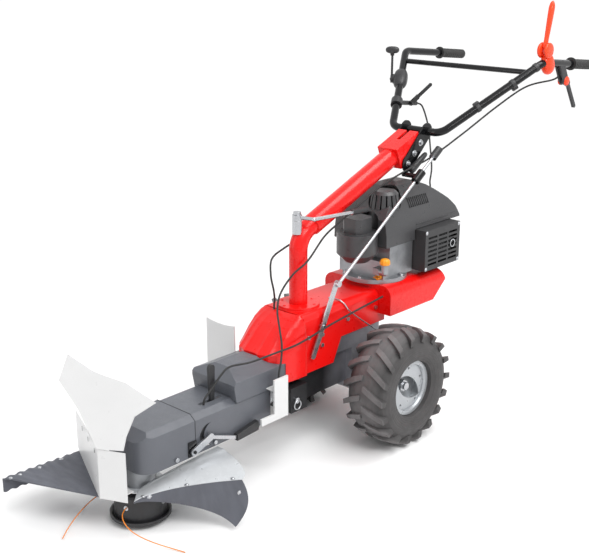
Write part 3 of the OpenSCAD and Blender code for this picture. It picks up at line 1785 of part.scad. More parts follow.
module oil_cap() {
  color(amber) {
    translate([filler_x, filler_y, filler_top + slip_gap])
      cylinder(h = oil_cap_h, r = oil_cap_r);
    translate([filler_x, filler_y, filler_top - plug_depth])
      cylinder(h = plug_depth + slip_gap, r = cap_stem_r);
    translate([filler_x - oil_cap_r, filler_y - guard_t / 2, filler_top + oil_cap_h])
      cube([2 * oil_cap_r, guard_t, oil_cap_h]);
  }
}

module oil_plug() {
  color(amber) {
    face = [plug_x, block_y[0] - slip_gap, plug_z];
    rod(face - [0, plug_head_h, 0], face, plug_head_r);
    rod(face, face + [0, plug_depth, 0], plug_stem_r);
    translate([plug_x - plug_head_r, block_y[0] - 2 * plug_head_h, plug_z - guard_t / 2])
      cube([2 * plug_head_r, plug_head_h, guard_t]);
  }
}

module cowl_body(inset) {
  half = cowl_w / 2 - inset;
  low = block_top - (inset > 0 ? overrun : 0);
  top = cowl_top - inset;
  side = [for (k = [0 : cowl_steps]) let (t = sin(90 * k / cowl_steps))
    [half * pow(1 - pow(t, cowl_squareness), 1 / cowl_squareness), mix(low, top, t)]];
  intersection() {
    across(-half, 2 * half)
      polygon([for (p = cowl_shares) [mix(cowl_front + inset, cowl_back - inset, p.x), mix(low, top, p.y)]]);
    lengthwise(cowl_front, cowl_back - cowl_front)
      polygon([each side, each [for (k = [cowl_steps - 1 : -1 : 0]) [-side[k].x, side[k].y]]]);
  }
}

module engine_cowl() {
  color(jet)
    difference() {
      cowl_body(0);
      cowl_body(cowl_wall);
      translate([dome_at.x, dome_at.y, block_top - overrun])
        cylinder(h = cowl_top, r = dome_r + slip_gap);
      translate([cleaner.x, cleaner.y, block_top - overrun])
        cylinder(h = cowl_top, r = bowl_r + slip_gap);
    }
}

module recoil_cover() {
  color(jet)
    translate([dome_at.x, dome_at.y, 0])
      difference() {
        rotate_extrude()
          polygon([[0, block_top], [dome_r, block_top], [dome_r, dome_shoulder],
            [dome_r - dome_step, dome_top - dome_step], [dome_r - 2 * dome_step, dome_top], [0, dome_top]]);
        for (i = [0 : vent_count - 1])
          rotate(i * 360 / vent_count)
            translate([dome_r - 3 * dome_step, -vent_w / 2, dome_shoulder + vent_w])
              cube([3 * dome_step, vent_w, dome_top - dome_shoulder - 3 * vent_w]);
      }
}

module air_cleaner() {
  color(slate)
    translate([cleaner.x, cleaner.y, 0]) {
      rotate_extrude()
        polygon([[0, bowl_bottom], [bowl_r - bowl_round, bowl_bottom], [bowl_r, bowl_bottom + bowl_round],
          [bowl_r, bowl_top], [0, bowl_top]]);
      translate([-box_half, -box_half, bowl_top])
        intersection() {
          cube([2 * box_half, 2 * box_half, box_h]);
          translate([box_half, box_half, 0])
            rotate(45)
              translate([-box_cut, -box_cut, 0])
                cube([2 * box_cut, 2 * box_cut, box_h]);
        }
    }
}

module muffler_guard() {
  at = [fin_x[1], guard_y[0], guard_z[0]];
  size = [muffler_x, guard_y[1], guard_z[1]] - at;
  wide = (size.y - 2 * louvre_edge + louvre_gap) / louvre_cols - louvre_gap;
  outlet = [muffler_x - 2 * guard_t, guard_y[1] - louvre_edge - wide / 2, at.z + size.z / 2];
  color(steel)
    difference() {
      translate(at)
        cube(size);
      translate(at + guard_t * [1, 1, 1])
        cube(size - 2 * guard_t * [1, 1, 1]);
      for (i = [0 : louvre_count - 1])
        for (k = [0 : louvre_cols - 1])
          translate([muffler_x - 2 * guard_t, at.y + louvre_edge + k * (wide + louvre_gap),
            at.z + louvre_edge + i * louvre_pitch])
            cube([3 * guard_t, wide, louvre_pitch / 2]);
      rod(outlet, outlet + [3 * guard_t, 0, 0], outlet_r);
    }
}

glide_cup();
line_drum();
eyelets();
trimmer_line_left();
trimmer_line_right();
spindle();
drive_shaft();
gear_housing();
shaft_tube();
bearings();
front_cover();
rear_cover();
hump_cover();
deck();
left_skirt();
right_flap();
front_guard();
guard_wing();
wheel_shield();
latch_base();
latch_lever();
engage_lever();
coupling_bracket();
ring_pin();
casing_nose();
casing_body();
engine_tray();
gearbox();
screws();
axle();
left_rim();
right_rim();
left_tyre();
right_tyre();
column();
swivel_clamp();
swivel_lever();
clamp_plates();
handlebar_stem();
left_arm();
right_arm();
cross_tube();
left_grip();
right_grip();
left_controls();
safety_lever();
drive_lever();
right_controls();
throttle_lever();
clutch_lever();
gear_lever();
gear_rod();
control_cables();
crankcase();
oil_cap();
oil_plug();
engine_cowl();
recoil_cover();
air_cleaner();
muffler_guard();
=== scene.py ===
"""Dresses a wheeled string trimmer: camera, light, trimmer lines, materials and small hardware."""
import json
import math

import bmesh
import bpy
from mathutils import Matrix, Vector


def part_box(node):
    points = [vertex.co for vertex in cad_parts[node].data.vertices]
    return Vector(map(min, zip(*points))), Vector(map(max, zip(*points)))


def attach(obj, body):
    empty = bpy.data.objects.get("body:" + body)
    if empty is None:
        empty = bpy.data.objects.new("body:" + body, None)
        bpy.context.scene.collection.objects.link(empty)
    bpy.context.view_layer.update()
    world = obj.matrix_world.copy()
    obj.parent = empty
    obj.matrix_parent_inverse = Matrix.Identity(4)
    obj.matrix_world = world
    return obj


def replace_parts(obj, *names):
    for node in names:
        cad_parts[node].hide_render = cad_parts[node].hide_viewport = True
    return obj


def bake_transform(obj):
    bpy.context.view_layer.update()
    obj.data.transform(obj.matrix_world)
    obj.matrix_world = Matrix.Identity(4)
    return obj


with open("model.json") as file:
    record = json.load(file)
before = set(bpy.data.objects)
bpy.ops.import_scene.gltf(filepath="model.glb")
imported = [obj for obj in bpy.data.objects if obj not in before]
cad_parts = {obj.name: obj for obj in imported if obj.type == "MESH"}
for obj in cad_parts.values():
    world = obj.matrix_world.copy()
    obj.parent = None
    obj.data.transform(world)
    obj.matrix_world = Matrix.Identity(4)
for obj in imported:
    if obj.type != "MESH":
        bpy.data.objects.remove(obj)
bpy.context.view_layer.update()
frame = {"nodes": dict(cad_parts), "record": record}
nodes = frame["nodes"]

# Units and directions of the machine
MM = 0.001
LEFT = Vector((1, 0, 0))
BACK = Vector((0, 1, 0))
UP = Vector((0, 0, 1))


def mm(*values):
    return Vector(values) * MM


# Camera: its place and its clipping in metres, its angles in degrees, and the image in pixels
IMAGE_WIDTH = 589
FOCAL_PIXELS = 1061.7
SENSOR_MM = 36.0
CAMERA_AT = (2.1092, -1.6308, 1.5417)
CAMERA_AZIMUTH = 43.009
CAMERA_ELEVATION = 17.856
CLIP_NEAR = 0.05
CLIP_FAR = 320.0


def make_camera():
    data = bpy.data.cameras.new("camera")
    data.sensor_width = SENSOR_MM
    data.lens = FOCAL_PIXELS / IMAGE_WIDTH * SENSOR_MM
    data.clip_start = CLIP_NEAR
    data.clip_end = CLIP_FAR
    camera = bpy.data.objects.new("camera", data)
    camera.location = CAMERA_AT
    camera.rotation_euler = (math.radians(90 - CAMERA_ELEVATION), 0, math.radians(CAMERA_AZIMUTH))
    bpy.context.scene.collection.objects.link(camera)
    bpy.context.scene.camera = camera


# Shader nodes

def feed(tree, made, inputs):
    """Gives a shader node its inputs: links where they are sockets, and plain values elsewhere."""
    for key, value in inputs.items():
        if isinstance(value, bpy.types.NodeSocket):
            tree.links.new(value, made.inputs[key])
        else:
            made.inputs[key].default_value = value


def add(tree, kind, inputs=None, **settings):
    made = tree.nodes.new(kind)
    for key, value in settings.items():
        setattr(made, key, value)
    feed(tree, made, inputs or {})
    return made


def calc(tree, operation, *values):
    return add(tree, "ShaderNodeMath", dict(enumerate(values)), operation=operation).outputs[0]


def vector_calc(tree, operation, *values, output="Vector"):
    return add(tree, "ShaderNodeVectorMath", dict(enumerate(values)), operation=operation).outputs[output]


def ramp(tree, value, source, target):
    """A value carried from one range to another, and held at the ends."""
    return add(tree, "ShaderNodeMapRange", {
        "Value": value, "From Min": source[0], "From Max": source[1],
        "To Min": target[0], "To Max": target[1]}).outputs[0]


def noise(tree, coords, scale, detail, rough=0.5):
    return add(tree, "ShaderNodeTexNoise", {
        "Vector": coords, "Scale": scale, "Detail": detail, "Roughness": rough}).outputs["Fac"]


def raised(tree, height, distance, normal):
    return add(tree, "ShaderNodeBump", {
        "Strength": 1.0, "Distance": distance, "Height": height, "Normal": normal}).outputs[0]


# Light: a white room, dimmer below, three soft boxes, and one wide sun for the soft shadow
WHITE = (1, 1, 1, 1)
SKY_TOP = 0.8
SKY_TONES = (0.16, 0.92)
WHITE_RAYS = ("Is Camera Ray", "Is Glossy Ray", "Is Transmission Ray")
SUN_POWER = 1.2
SUN_SPREAD = 38.0
SUN_TILT = (34.0, 12.0, 62.0)
MACHINE_MIDDLE = Vector((0.0, 0.75, 0.55))
SOFT_BOXES = {
    "left_box": ((-1.5, -1.9, 1.5), (0.9, 2.2), 10.0),
    "right_box": ((2.3, 0.3, 2.25), (1.3, 0.16), 14.0),
    "top_box": ((0.63, 1.47, 2.4), (0.9, 0.9), 16.0),
}
FLOOR_RADIUS = 80.0
FLOOR_SIDES = 64
FLOOR_DROP = 0.0005
FLOOR_GREY = 0.97


def make_world():
    world = bpy.data.worlds.new("studio")
    world.use_nodes = True
    tree = world.node_tree
    tree.nodes.clear()
    toward = add(tree, "ShaderNodeTexCoord").outputs["Generated"]
    height = add(tree, "ShaderNodeSeparateXYZ", {0: toward}).outputs[2]
    strength = ramp(tree, height, (0.0, SKY_TOP), SKY_TONES)
    path = add(tree, "ShaderNodeLightPath")
    for ray in WHITE_RAYS:
        strength = calc(tree, "MAXIMUM", strength, path.outputs[ray])
    back = add(tree, "ShaderNodeBackground", {"Color": WHITE, "Strength": strength})
    add(tree, "ShaderNodeOutputWorld", {0: back.outputs[0]})
    bpy.context.scene.world = world


def make_sun():
    data = bpy.data.lights.new("sun", "SUN")
    data.energy = SUN_POWER
    data.angle = math.radians(SUN_SPREAD)
    sun = bpy.data.objects.new("sun", data)
    sun.rotation_euler = [math.radians(angle) for angle in SUN_TILT]
    bpy.context.scene.collection.objects.link(sun)


def make_boxes():
    for name, (at, size, power) in SOFT_BOXES.items():
        data = bpy.data.lights.new(name, "AREA")
        data.shape = "RECTANGLE"
        data.size, data.size_y = size
        data.energy = power
        box = bpy.data.objects.new(name, data)
        box.location = at
        box.rotation_euler = (MACHINE_MIDDLE - Vector(at)).to_track_quat("-Z", "Y").to_euler()
        bpy.context.scene.collection.objects.link(box)


def from_shape(name, shape):
    mesh = bpy.data.meshes.new(name)
    shape.to_mesh(mesh)
    shape.free()
    return mesh


def make_floor():
    shape = bmesh.new()
    bmesh.ops.create_circle(shape, cap_ends=True, segments=FLOOR_SIDES, radius=FLOOR_RADIUS)
    mesh = from_shape("floor", shape)
    floor = bpy.data.objects.new("floor", mesh)
    floor.location.z = -FLOOR_DROP
    bpy.context.scene.collection.objects.link(floor)
    material = bpy.data.materials.new("floor")
    material.use_nodes = True
    feed(material.node_tree, material.node_tree.nodes["Principled BSDF"], {
        "Base Color": (FLOOR_GREY, FLOOR_GREY, FLOOR_GREY, 1), "Roughness": 1.0, "Specular IOR Level": 0.0})
    mesh.materials.append(material)


# Trimmer lines: the routes of the CAD, in metres
LINE_D = 0.003
LINE_ROUND = 3
LINE_ROUTES = {
    "trimmer_line_left": [
        (0.0239, -0.0658, 0.062), (0.0263, -0.0724, 0.062), (0.030, -0.081, 0.061),
        (0.0355, -0.0895, 0.0588), (0.0425, -0.0965, 0.056), (0.051, -0.1018, 0.0524),
        (0.061, -0.1054, 0.0478), (0.073, -0.107, 0.0423), (0.086, -0.1063, 0.0364),
        (0.100, -0.1034, 0.0306), (0.116, -0.098, 0.025), (0.134, -0.0906, 0.0198),
        (0.153, -0.0818, 0.015), (0.173, -0.0716, 0.0107), (0.193, -0.0609, 0.007),
        (0.214, -0.0504, 0.004), (0.234, -0.042, 0.002)],
    "trimmer_line_right": [
        (-0.0658, -0.0239, 0.062), (-0.0724, -0.0263, 0.062), (-0.080, -0.030, 0.0614),
        (-0.0875, -0.0356, 0.0602), (-0.094, -0.0432, 0.0583), (-0.0988, -0.053, 0.056),
        (-0.102, -0.065, 0.053), (-0.103, -0.079, 0.0494), (-0.1018, -0.095, 0.0456),
        (-0.0988, -0.112, 0.0415), (-0.094, -0.130, 0.037), (-0.088, -0.149, 0.0322),
        (-0.0806, -0.168, 0.0272), (-0.0728, -0.186, 0.022), (-0.065, -0.203, 0.0162),
        (-0.0584, -0.216, 0.0104), (-0.054, -0.226, 0.005)],
}


def trimmer_line(name, points, material):
    data = bpy.data.curves.new(name, "CURVE")
    data.dimensions = "3D"
    data.bevel_depth = LINE_D / 2
    data.bevel_resolution = LINE_ROUND
    data.use_fill_caps = True
    spline = data.splines.new("POLY")
    spline.points.add(len(points) - 1)
    for point, place_of_point in zip(spline.points, points):
        point.co = (*place_of_point, 1)
    data.materials.append(material)
    line = bpy.data.objects.new(name + "_cord", data)
    bpy.context.scene.collection.objects.link(line)
    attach(line, "head")
    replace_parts(line, name)


# Materials: scales of the noise, and the range that most of a noise lies in
NOISE_RANGE = (0.3, 0.7)
CLOUD_DETAIL = 5.0
GRAIN_DETAIL = 3.0
SCRAPE_SCALE = 60.0
SCRAPE_DETAIL = 6.0
GLOSS_SCALE = 45.0
GLOSS_DETAIL = 6.0
GLOSS_ROUGH = 0.65
LEAST_ROUGHNESS = 0.03
COAT_ROUGHNESS = 0.06
BEVEL_SAMPLES = 4
EDGE_TURN = (0.985, 0.9)


def surface(name, colour, roughness, metallic=0.0, coat=0.0, shine=0.5, mottle=(9.0, 0.06), patchy=0.08,
            grain=(900.0, 0.00008), cells=False, worn=None, wear=0.0, edge=0.0012, detail=None):
    """A surface with mottled colour, uneven gloss, a fine grain and rounded, worn edges.
    mottle is a scale and a share of the brightness, and grain a scale and a height in metres.
    detail(tree, coords, bright) may change the brightness and give a height of its own."""
    material = bpy.data.materials.new(name)
    material.use_nodes = True
    tree = material.node_tree
    coords = add(tree, "ShaderNodeTexCoord").outputs["Object"]

    scale, share = mottle
    bright = ramp(tree, noise(tree, coords, scale, CLOUD_DETAIL), NOISE_RANGE, (1 - share, 1 + share))
    height = None
    if detail:
        bright, height = detail(tree, coords, bright)
    tinted = add(tree, "ShaderNodeHueSaturation", {"Color": (*colour, 1), "Value": bright}).outputs[0]

    bevel = add(tree, "ShaderNodeBevel", {"Radius": edge}, samples=BEVEL_SAMPLES).outputs[0]
    if worn:
        flat = add(tree, "ShaderNodeNewGeometry").outputs["Normal"]
        same = vector_calc(tree, "DOT_PRODUCT", bevel, flat, output="Value")
        edges = ramp(tree, same, EDGE_TURN, (0.0, wear))
        rubbed = calc(tree, "MULTIPLY", edges, noise(tree, coords, SCRAPE_SCALE, SCRAPE_DETAIL))
        mixed = add(tree, "ShaderNodeMix", {"Factor": rubbed, 6: tinted, 7: (*worn, 1)}, data_type="RGBA")
        tinted = mixed.outputs[2]

    gloss = noise(tree, coords, GLOSS_SCALE, GLOSS_DETAIL, GLOSS_ROUGH)
    least, most = max(roughness - patchy, LEAST_ROUGHNESS), min(roughness + patchy, 1.0)
    uneven = ramp(tree, gloss, NOISE_RANGE, (least, most))

    scale, depth = grain
    if cells:
        fine = add(tree, "ShaderNodeTexVoronoi", {"Vector": coords, "Scale": scale}).outputs["Distance"]
    else:
        fine = noise(tree, coords, scale, GRAIN_DETAIL)
    bump = raised(tree, fine, depth, bevel)
    if height:
        bump = raised(tree, height, MM, bump)
    feed(tree, tree.nodes["Principled BSDF"], {
        "Base Color": tinted, "Roughness": uneven, "Normal": bump, "Metallic": metallic,
        "Specular IOR Level": shine, "Coat Weight": coat, "Coat Roughness": COAT_ROUGHNESS})
    return material


# Details of the surfaces, in metres: tones are shares of the brightness
TYRE_LOW, TYRE_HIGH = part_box("left_tyre")
AXLE_Y = (TYRE_LOW.y + TYRE_HIGH.y) / 2
AXLE_Z = (TYRE_LOW.z + TYRE_HIGH.z) / 2
TYRE_R = (TYRE_HIGH.z - TYRE_LOW.z) / 2
LUG_DEPTH = 0.02
# Lug tops paler with wear, and the grooves and sidewall below them darker as painted shade
LUG_WEAR_AND_SHADE_TONES = (0.5, 1.5)
MOULD_RATE = 900.0
MOULD_HEIGHT = 0.25
MOULD_FADE_SHARES = (0.72, 0.7)
SPANGLE_SCALE = 85.0
SPANGLE_TONES = (0.97, 1.03)
BRUSH_STRETCH = (40, 900, 900)
BRUSH_DETAIL = 2.0
BRUSH_TONES = (0.9, 1.1)
STREAK_STRETCH = (14, 60, 14)
STREAK_DETAIL = 6.0
STREAK_RANGE = (0.35, 0.75)
STREAK_TONES = (0.92, 1.18)
# Painted shade on the gearbox front: where it starts and ends before the axle, and its tones
CASE_SHADE_FROM = 0.18
CASE_SHADE_TO = 0.07
CASE_SHADE_TONES = (0.08, 1.0)


def from_axle(tree, coords):
    """The distance from the axle's line."""
    centred = vector_calc(tree, "SUBTRACT", coords, (0, AXLE_Y, AXLE_Z))
    flat = vector_calc(tree, "MULTIPLY", centred, (0, 1, 1))
    return vector_calc(tree, "LENGTH", flat, output="Value")


def tyre_detail(tree, coords, bright):
    """Lug tops paler with wear, grooves and sidewall darker as painted shade, and fine mould rings on the
    sidewall.
    """
    radius = from_axle(tree, coords)
    lugs = ramp(tree, radius, (TYRE_R - LUG_DEPTH, TYRE_R), LUG_WEAR_AND_SHADE_TONES)
    rings = calc(tree, "SINE", calc(tree, "MULTIPLY", radius, MOULD_RATE))
    side = ramp(tree, radius, [TYRE_R * share for share in MOULD_FADE_SHARES], (0.0, MOULD_HEIGHT))
    return calc(tree, "MULTIPLY", bright, lugs), calc(tree, "MULTIPLY", rings, side)


def spangle_detail(tree, coords, bright):
    """The crystal patches of zinc."""
    patches = add(tree, "ShaderNodeTexVoronoi", {"Vector": coords, "Scale": SPANGLE_SCALE}).outputs["Color"]
    grey = add(tree, "ShaderNodeSeparateColor", {"Color": patches}).outputs[0]
    return calc(tree, "MULTIPLY", bright, ramp(tree, grey, (0.0, 1.0), SPANGLE_TONES)), None


def brushed_detail(tree, coords, bright):
    """Fine scratches of a plated and handled part."""
    lines = noise(tree, vector_calc(tree, "MULTIPLY", coords, BRUSH_STRETCH), 1.0, BRUSH_DETAIL)
    return calc(tree, "MULTIPLY", bright, ramp(tree, lines, (0.0, 1.0), BRUSH_TONES)), None


def streak_detail(tree, coords, bright):
    """Faint scuffs where cut grass slides over the rubber."""
    lines = noise(tree, vector_calc(tree, "MULTIPLY", coords, STREAK_STRETCH), 1.0, STREAK_DETAIL)
    return calc(tree, "MULTIPLY", bright, ramp(tree, lines, STREAK_RANGE, STREAK_TONES)), None


def case_painted_shade(tree, coords, bright):
    """Painted shade on the front of the gearbox, under the casing, fading out to the bare casting at the
    axle.
    """
    along = add(tree, "ShaderNodeSeparateXYZ", {0: coords}).outputs[1]
    tone = ramp(tree, along, (AXLE_Y - CASE_SHADE_FROM, AXLE_Y - CASE_SHADE_TO), CASE_SHADE_TONES)
    return calc(tree, "MULTIPLY", bright, tone), None


RED = (0.84, 0.006, 0.005)
FINISHES = {
    "black_plastic": dict(
        colour=(0.020, 0.020, 0.022), roughness=0.42, grain=(1400.0, 0.0001), cells=True,
        worn=(0.12, 0.12, 0.12), wear=0.5),
    "line_nylon": dict(
        colour=(0.85, 0.25, 0.02), roughness=0.3, grain=(2500.0, 0.00002), mottle=(120.0, 0.15)),
    "steel": dict(
        colour=(0.50, 0.51, 0.53), roughness=0.3, metallic=1.0, grain=(700.0, 0.00003),
        detail=brushed_detail),
    "cast_alloy": dict(
        colour=(0.30, 0.31, 0.325), roughness=0.42, metallic=0.8, grain=(650.0, 0.00035),
        mottle=(22.0, 0.2)),
    # The gearbox casting, with painted shade on its front
    "case_grey": dict(
        colour=(0.30, 0.30, 0.33), roughness=0.42, metallic=0.5, grain=(520.0, 0.0003),
        mottle=(18.0, 0.16), detail=case_painted_shade),
    "slate_plastic": dict(
        colour=(0.112, 0.119, 0.137), roughness=0.36, grain=(1600.0, 0.00012), cells=True,
        worn=(0.18, 0.19, 0.21), wear=0.5, edge=0.003),
    "galvanised": dict(
        colour=(0.62, 0.64, 0.66), roughness=0.34, metallic=0.45, grain=(500.0, 0.00004),
        detail=spangle_detail),
    "skirt_rubber": dict(
        colour=(0.096, 0.101, 0.121), roughness=0.55, grain=(800.0, 0.00018), detail=streak_detail,
        edge=0.002),
    "white_paint": dict(
        colour=(0.74, 0.74, 0.74), roughness=0.34, coat=0.15, grain=(420.0, 0.00009), mottle=(7.0, 0.025),
        worn=(0.45, 0.45, 0.46), wear=0.5),
    "red_plastic": dict(
        colour=RED, roughness=0.3, coat=0.2, shine=0.25, grain=(260.0, 0.00003), patchy=0.04,
        mottle=(5.0, 0.04), worn=(0.9, 0.12, 0.1), wear=0.4, edge=0.004),
    "red_paint": dict(
        colour=RED, roughness=0.28, coat=0.2, shine=0.25, grain=(420.0, 0.00003), patchy=0.04,
        mottle=(6.0, 0.04), worn=(0.9, 0.14, 0.12), wear=0.4, edge=0.003),
    "rim_paint": dict(
        colour=(0.42, 0.44, 0.46), roughness=0.32, metallic=0.4, coat=0.3, grain=(500.0, 0.00008),
        worn=(0.3, 0.3, 0.3), wear=0.4),
    "tyre_rubber": dict(
        colour=(0.106, 0.100, 0.101), roughness=0.6, grain=(520.0, 0.0003), mottle=(26.0, 0.16),
        detail=tyre_detail),
    "black_paint": dict(
        colour=(0.006, 0.006, 0.007), roughness=0.12, coat=0.2, shine=0.2, grain=(600.0, 0.00006),
        worn=(0.1, 0.1, 0.1), wear=0.4),
    "grip_rubber": dict(
        colour=(0.018, 0.018, 0.018), roughness=0.6, grain=(1200.0, 0.0002), cells=True),
    "orange_plastic": dict(
        colour=(0.92, 0.060, 0.014), roughness=0.26, coat=0.15, shine=0.3, grain=(900.0, 0.00007),
        edge=0.005),
    "amber_plastic": dict(
        colour=(0.90, 0.32, 0.012), roughness=0.34, grain=(1000.0, 0.00008)),
    "engine_black": dict(
        colour=(0.050, 0.050, 0.053), roughness=0.34, grain=(1100.0, 0.00014), cells=True,
        worn=(0.12, 0.12, 0.12), wear=0.5, edge=0.002),
    "muffler_steel": dict(
        colour=(0.045, 0.045, 0.047), roughness=0.5, metallic=0.3, grain=(600.0, 0.0002)),
}
LOOKS = {name: surface(name, **finish) for name, finish in FINISHES.items()}

# Nodes in a finish of their own, and nodes with a black grip behind a place along the machine, in metres
OWN_LOOKS = {"gearbox": "case_grey"}
GRIP_LOOK = "black_plastic"
GRIPS_BEHIND = {"latch_lever": 0.2765, "swivel_lever": 0.829, "gear_rod": 1.1745}


def dress_nodes():
    for part in frame["record"]["subparts"]:
        name = part["node"]
        data = nodes[name].data
        data.materials.clear()
        data.materials.append(LOOKS[OWN_LOOKS.get(name, part["material_slot"])])
        if name in GRIPS_BEHIND:
            data.materials.append(LOOKS[GRIP_LOOK])
            for face in data.polygons:
                if (face.center - BACK * GRIPS_BEHIND[name]).y > 0:
                    face.material_index = 1


# Pieces of the scene: sizes are in millimetres, and places are vectors in metres
SIDEWAYS = 0.9
BEVEL_STEPS = 3
BALL_STEPS = (32, 20)
BALL_POWER = 0.8


def place(data, look, body, smooth=50.0):
    """A piece with a look of LOOKS, which is also its slot, riding on a body."""
    data.shade_smooth()
    data.set_sharp_from_angle(angle=math.radians(smooth))
    data.materials.append(LOOKS[look])
    piece = bpy.data.objects.new(data.name, data)
    bpy.context.scene.collection.objects.link(piece)
    if body:
        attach(piece, body)
    return piece


def from_faces(name, points, faces):
    mesh = bpy.data.meshes.new(name)
    mesh.from_pydata(points, [], faces)
    shape = bmesh.new()
    shape.from_mesh(mesh)
    bmesh.ops.recalc_face_normals(shape, faces=shape.faces)
    shape.to_mesh(mesh)
    shape.free()
    return mesh


def skin(name, outer, inner):
    """A closed sheet between two grids of points."""
    rows, cols = len(outer), len(outer[0])
    count = rows * cols
    points = [p for grid in (outer, inner) for row in grid for p in row]
    faces = []
    for i in range(rows - 1):
        for j in range(cols - 1):
            a = i * cols + j
            faces.append((a, a + cols, a + cols + 1, a + 1))
            faces.append((count + a, count + a + 1, count + a + cols + 1, count + a + cols))
    rim = [*range(cols - 1), *range(cols - 1, count - 1, cols), *range(count - 1, count - cols, -1),
           *range(count - cols, 0, -cols)]
    faces += [(b, a, count + a, count + b) for a, b in zip(rim, rim[1:] + rim[:1])]
    return from_faces(name, points, faces)


def hull(name, points, sides):
    """A closed shape over rings of points, with flat ends."""
    faces = []
    for ring in range(0, len(points) - sides, sides):
        for k in range(sides):
            a, b = ring + k, ring + (k + 1) % sides
            faces.append((a, b, b + sides, a + sides))
    faces += [tuple(range(sides)), tuple(range(len(points) - sides, len(points)))]
    return from_faces(name, points, faces)


def circle(sides):
    turns = [2 * math.pi * k / sides for k in range(sides)]
    return [(math.cos(turn), math.sin(turn)) for turn in turns]


def rounded(value, power):
    return math.copysign(abs(value) ** power, value)


def heading(route, i):
    return (route[min(i + 1, len(route) - 1)] - route[max(i - 1, 0)]).normalized()


def smooth_route(points, steps):
    """A smooth curve through the points."""
    last = len(points) - 1
    route = []
    for i in range(last):
        a, b, c, d = (points[k] for k in (max(i - 1, 0), i, i + 1, min(i + 2, last)))
        for k in range(steps):
            t = k / steps
            route.append((b * 2 + (c - a) * t + (a * 2 - b * 5 + c * 4 - d) * t ** 2
                          + (b * 3 - a - c * 3 + d) * t ** 3) / 2)
    return route + [points[last]]


def tube(name, route, radius, sides=14):
    """A round bar along a route."""
    points = []
    across = LEFT if abs(heading(route, 0).x) < SIDEWAYS else UP
    for i, at in enumerate(route):
        along = heading(route, i)
        across = (across - along * across.dot(along)).normalized()
        other = along.cross(across)
        points += [at + (across * u + other * v) * radius * MM for u, v in circle(sides)]
    return hull(name, points, sides)


def limb(name, route, halves, sides=28, power=0.75):
    """A rounded bar along a route, with a half width and a half depth at each point."""
    points = []
    for i, (at, (wide, deep)) in enumerate(zip(route, halves)):
        along = heading(route, i)
        side = (LEFT - along * LEFT.dot(along)).normalized()
        other = along.cross(side)
        for u, v in circle(sides):
            points.append(at + (side * rounded(u, power) * wide + other * rounded(v, power) * deep) * MM)
    return hull(name, points, sides)


def turned(name, profile, at, axis, sides=28):
    """A turned shape: pairs of a radius and a height along the axis."""
    swing = UP.rotation_difference(Vector(axis))
    ring = circle(sides)
    points = [at + swing @ mm(radius * u, radius * v, height) for radius, height in profile for u, v in ring]
    return hull(name, points, sides)


def block(name, size, at, turn=None, bevel=1.0):
    """A box with rounded edges."""
    shape = bmesh.new()
    bmesh.ops.create_cube(shape, size=1.0)
    bmesh.ops.scale(shape, vec=mm(*size), verts=shape.verts)
    bmesh.ops.bevel(shape, geom=shape.edges[:], offset=bevel * MM, segments=BEVEL_STEPS, profile=0.5,
                    affect="EDGES")
    if turn:
        bmesh.ops.transform(shape, matrix=turn.to_4x4(), verts=shape.verts)
    bmesh.ops.translate(shape, vec=at, verts=shape.verts)
    return from_shape(name, shape)


def ball(name, halves, at, turn):
    """A rounded body with three half sizes."""
    shape = bmesh.new()
    bmesh.ops.create_uvsphere(shape, u_segments=BALL_STEPS[0], v_segments=BALL_STEPS[1], radius=1.0)
    for vert in shape.verts:
        vert.co = Vector([rounded(c, BALL_POWER) for c in vert.co])
    bmesh.ops.scale(shape, vec=mm(*halves), verts=shape.verts)
    bmesh.ops.transform(shape, matrix=turn.to_4x4(), verts=shape.verts)
    bmesh.ops.translate(shape, vec=at, verts=shape.verts)
    return from_shape(name, shape)


def axes(x, y):
    """A turn that takes x and y to two directions square to each other."""
    x = Vector(x).normalized()
    z = x.cross(Vector(y)).normalized()
    return Matrix((x, z.cross(x), z)).transposed()


RIVET = [(0.2, 2.6), (2.2, 2.3), (3.8, 1.4), (4.4, 0.2), (6.4, 0.2), (6.6, -0.6)]


def rivet(name, at, axis):
    place(turned(name, RIVET, at, axis), "steel", "chassis")


def shares(count):
    return [k / (count - 1) for k in range(count)]


def make_sheet(name, node, look, point, grid, thickness, smooth=50.0):
    """A sheet over point(row, column, depth), in place of a node of the CAD."""
    rows, cols = grid
    layers = [[[point(row, col, depth) for col in cols] for row in rows] for depth in (0, thickness)]
    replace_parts(place(skin(name, *layers), look, "chassis", smooth), node)


# Deck and skirt: the sheets of the CAD, drawn finer, with t from front to rear and s from root to edge
SHEET_GRID = (shares(64), shares(28))
DECK_FRONT = (74, -78, 106)
DECK_REACH = (186, 262, 34)
DECK_POWERS = (1.5, 1, 0.8)
DECK_ROOT = (48, -48, 110)
DECK_ROOT_REACH = (40, 264, 56)
DECK_ROOT_POWERS = (1, 1, 0.6)
DECK_CROWN = 12
DECK_T = 2
DECK_ROUND_SHARE = 0.075
DECK_ROUND_POWER = 9
BEAD_H = 3.0
BEAD_AT_SHARE = 0.16
BEAD_WIDTH_SHARE = 0.07
BEAD_RISE = 4
RING_BORE = 31.5
RING_R = 70
RING_ROUND = (1, 0.6)
DECK_RIVET_SHARES = (0.1, 0.5, 0.88)
DECK_RIVET_S = 0.965
DECK_RIVET_LIFT = 0.4
DECK_RIVET_AXIS = (0.1, 0, 1)
SKIRT_T = 4
SKIRT_GAP = 2.4
SKIRT_DROP = 5
SKIRT_FALL = 115
SKIRT_FALL_POWER = 1.2
SKIRT_OUT = 22
SKIRT_FOLD = 1.2
SKIRT_FOLDS = 9
SKIRT_END_POWER = 5
SKIRT_END_DROP = 13
SKIRT_END_BULGE = (16, 12)
SKIRT_END_TUCK = (4, 66)
SKIRT_RIVET_SHARES = (0.16, 0.9)
SKIRT_RIVET_S = 0.3
SKIRT_RIVET_AXIS = (0.9, -0.4, 0.1)


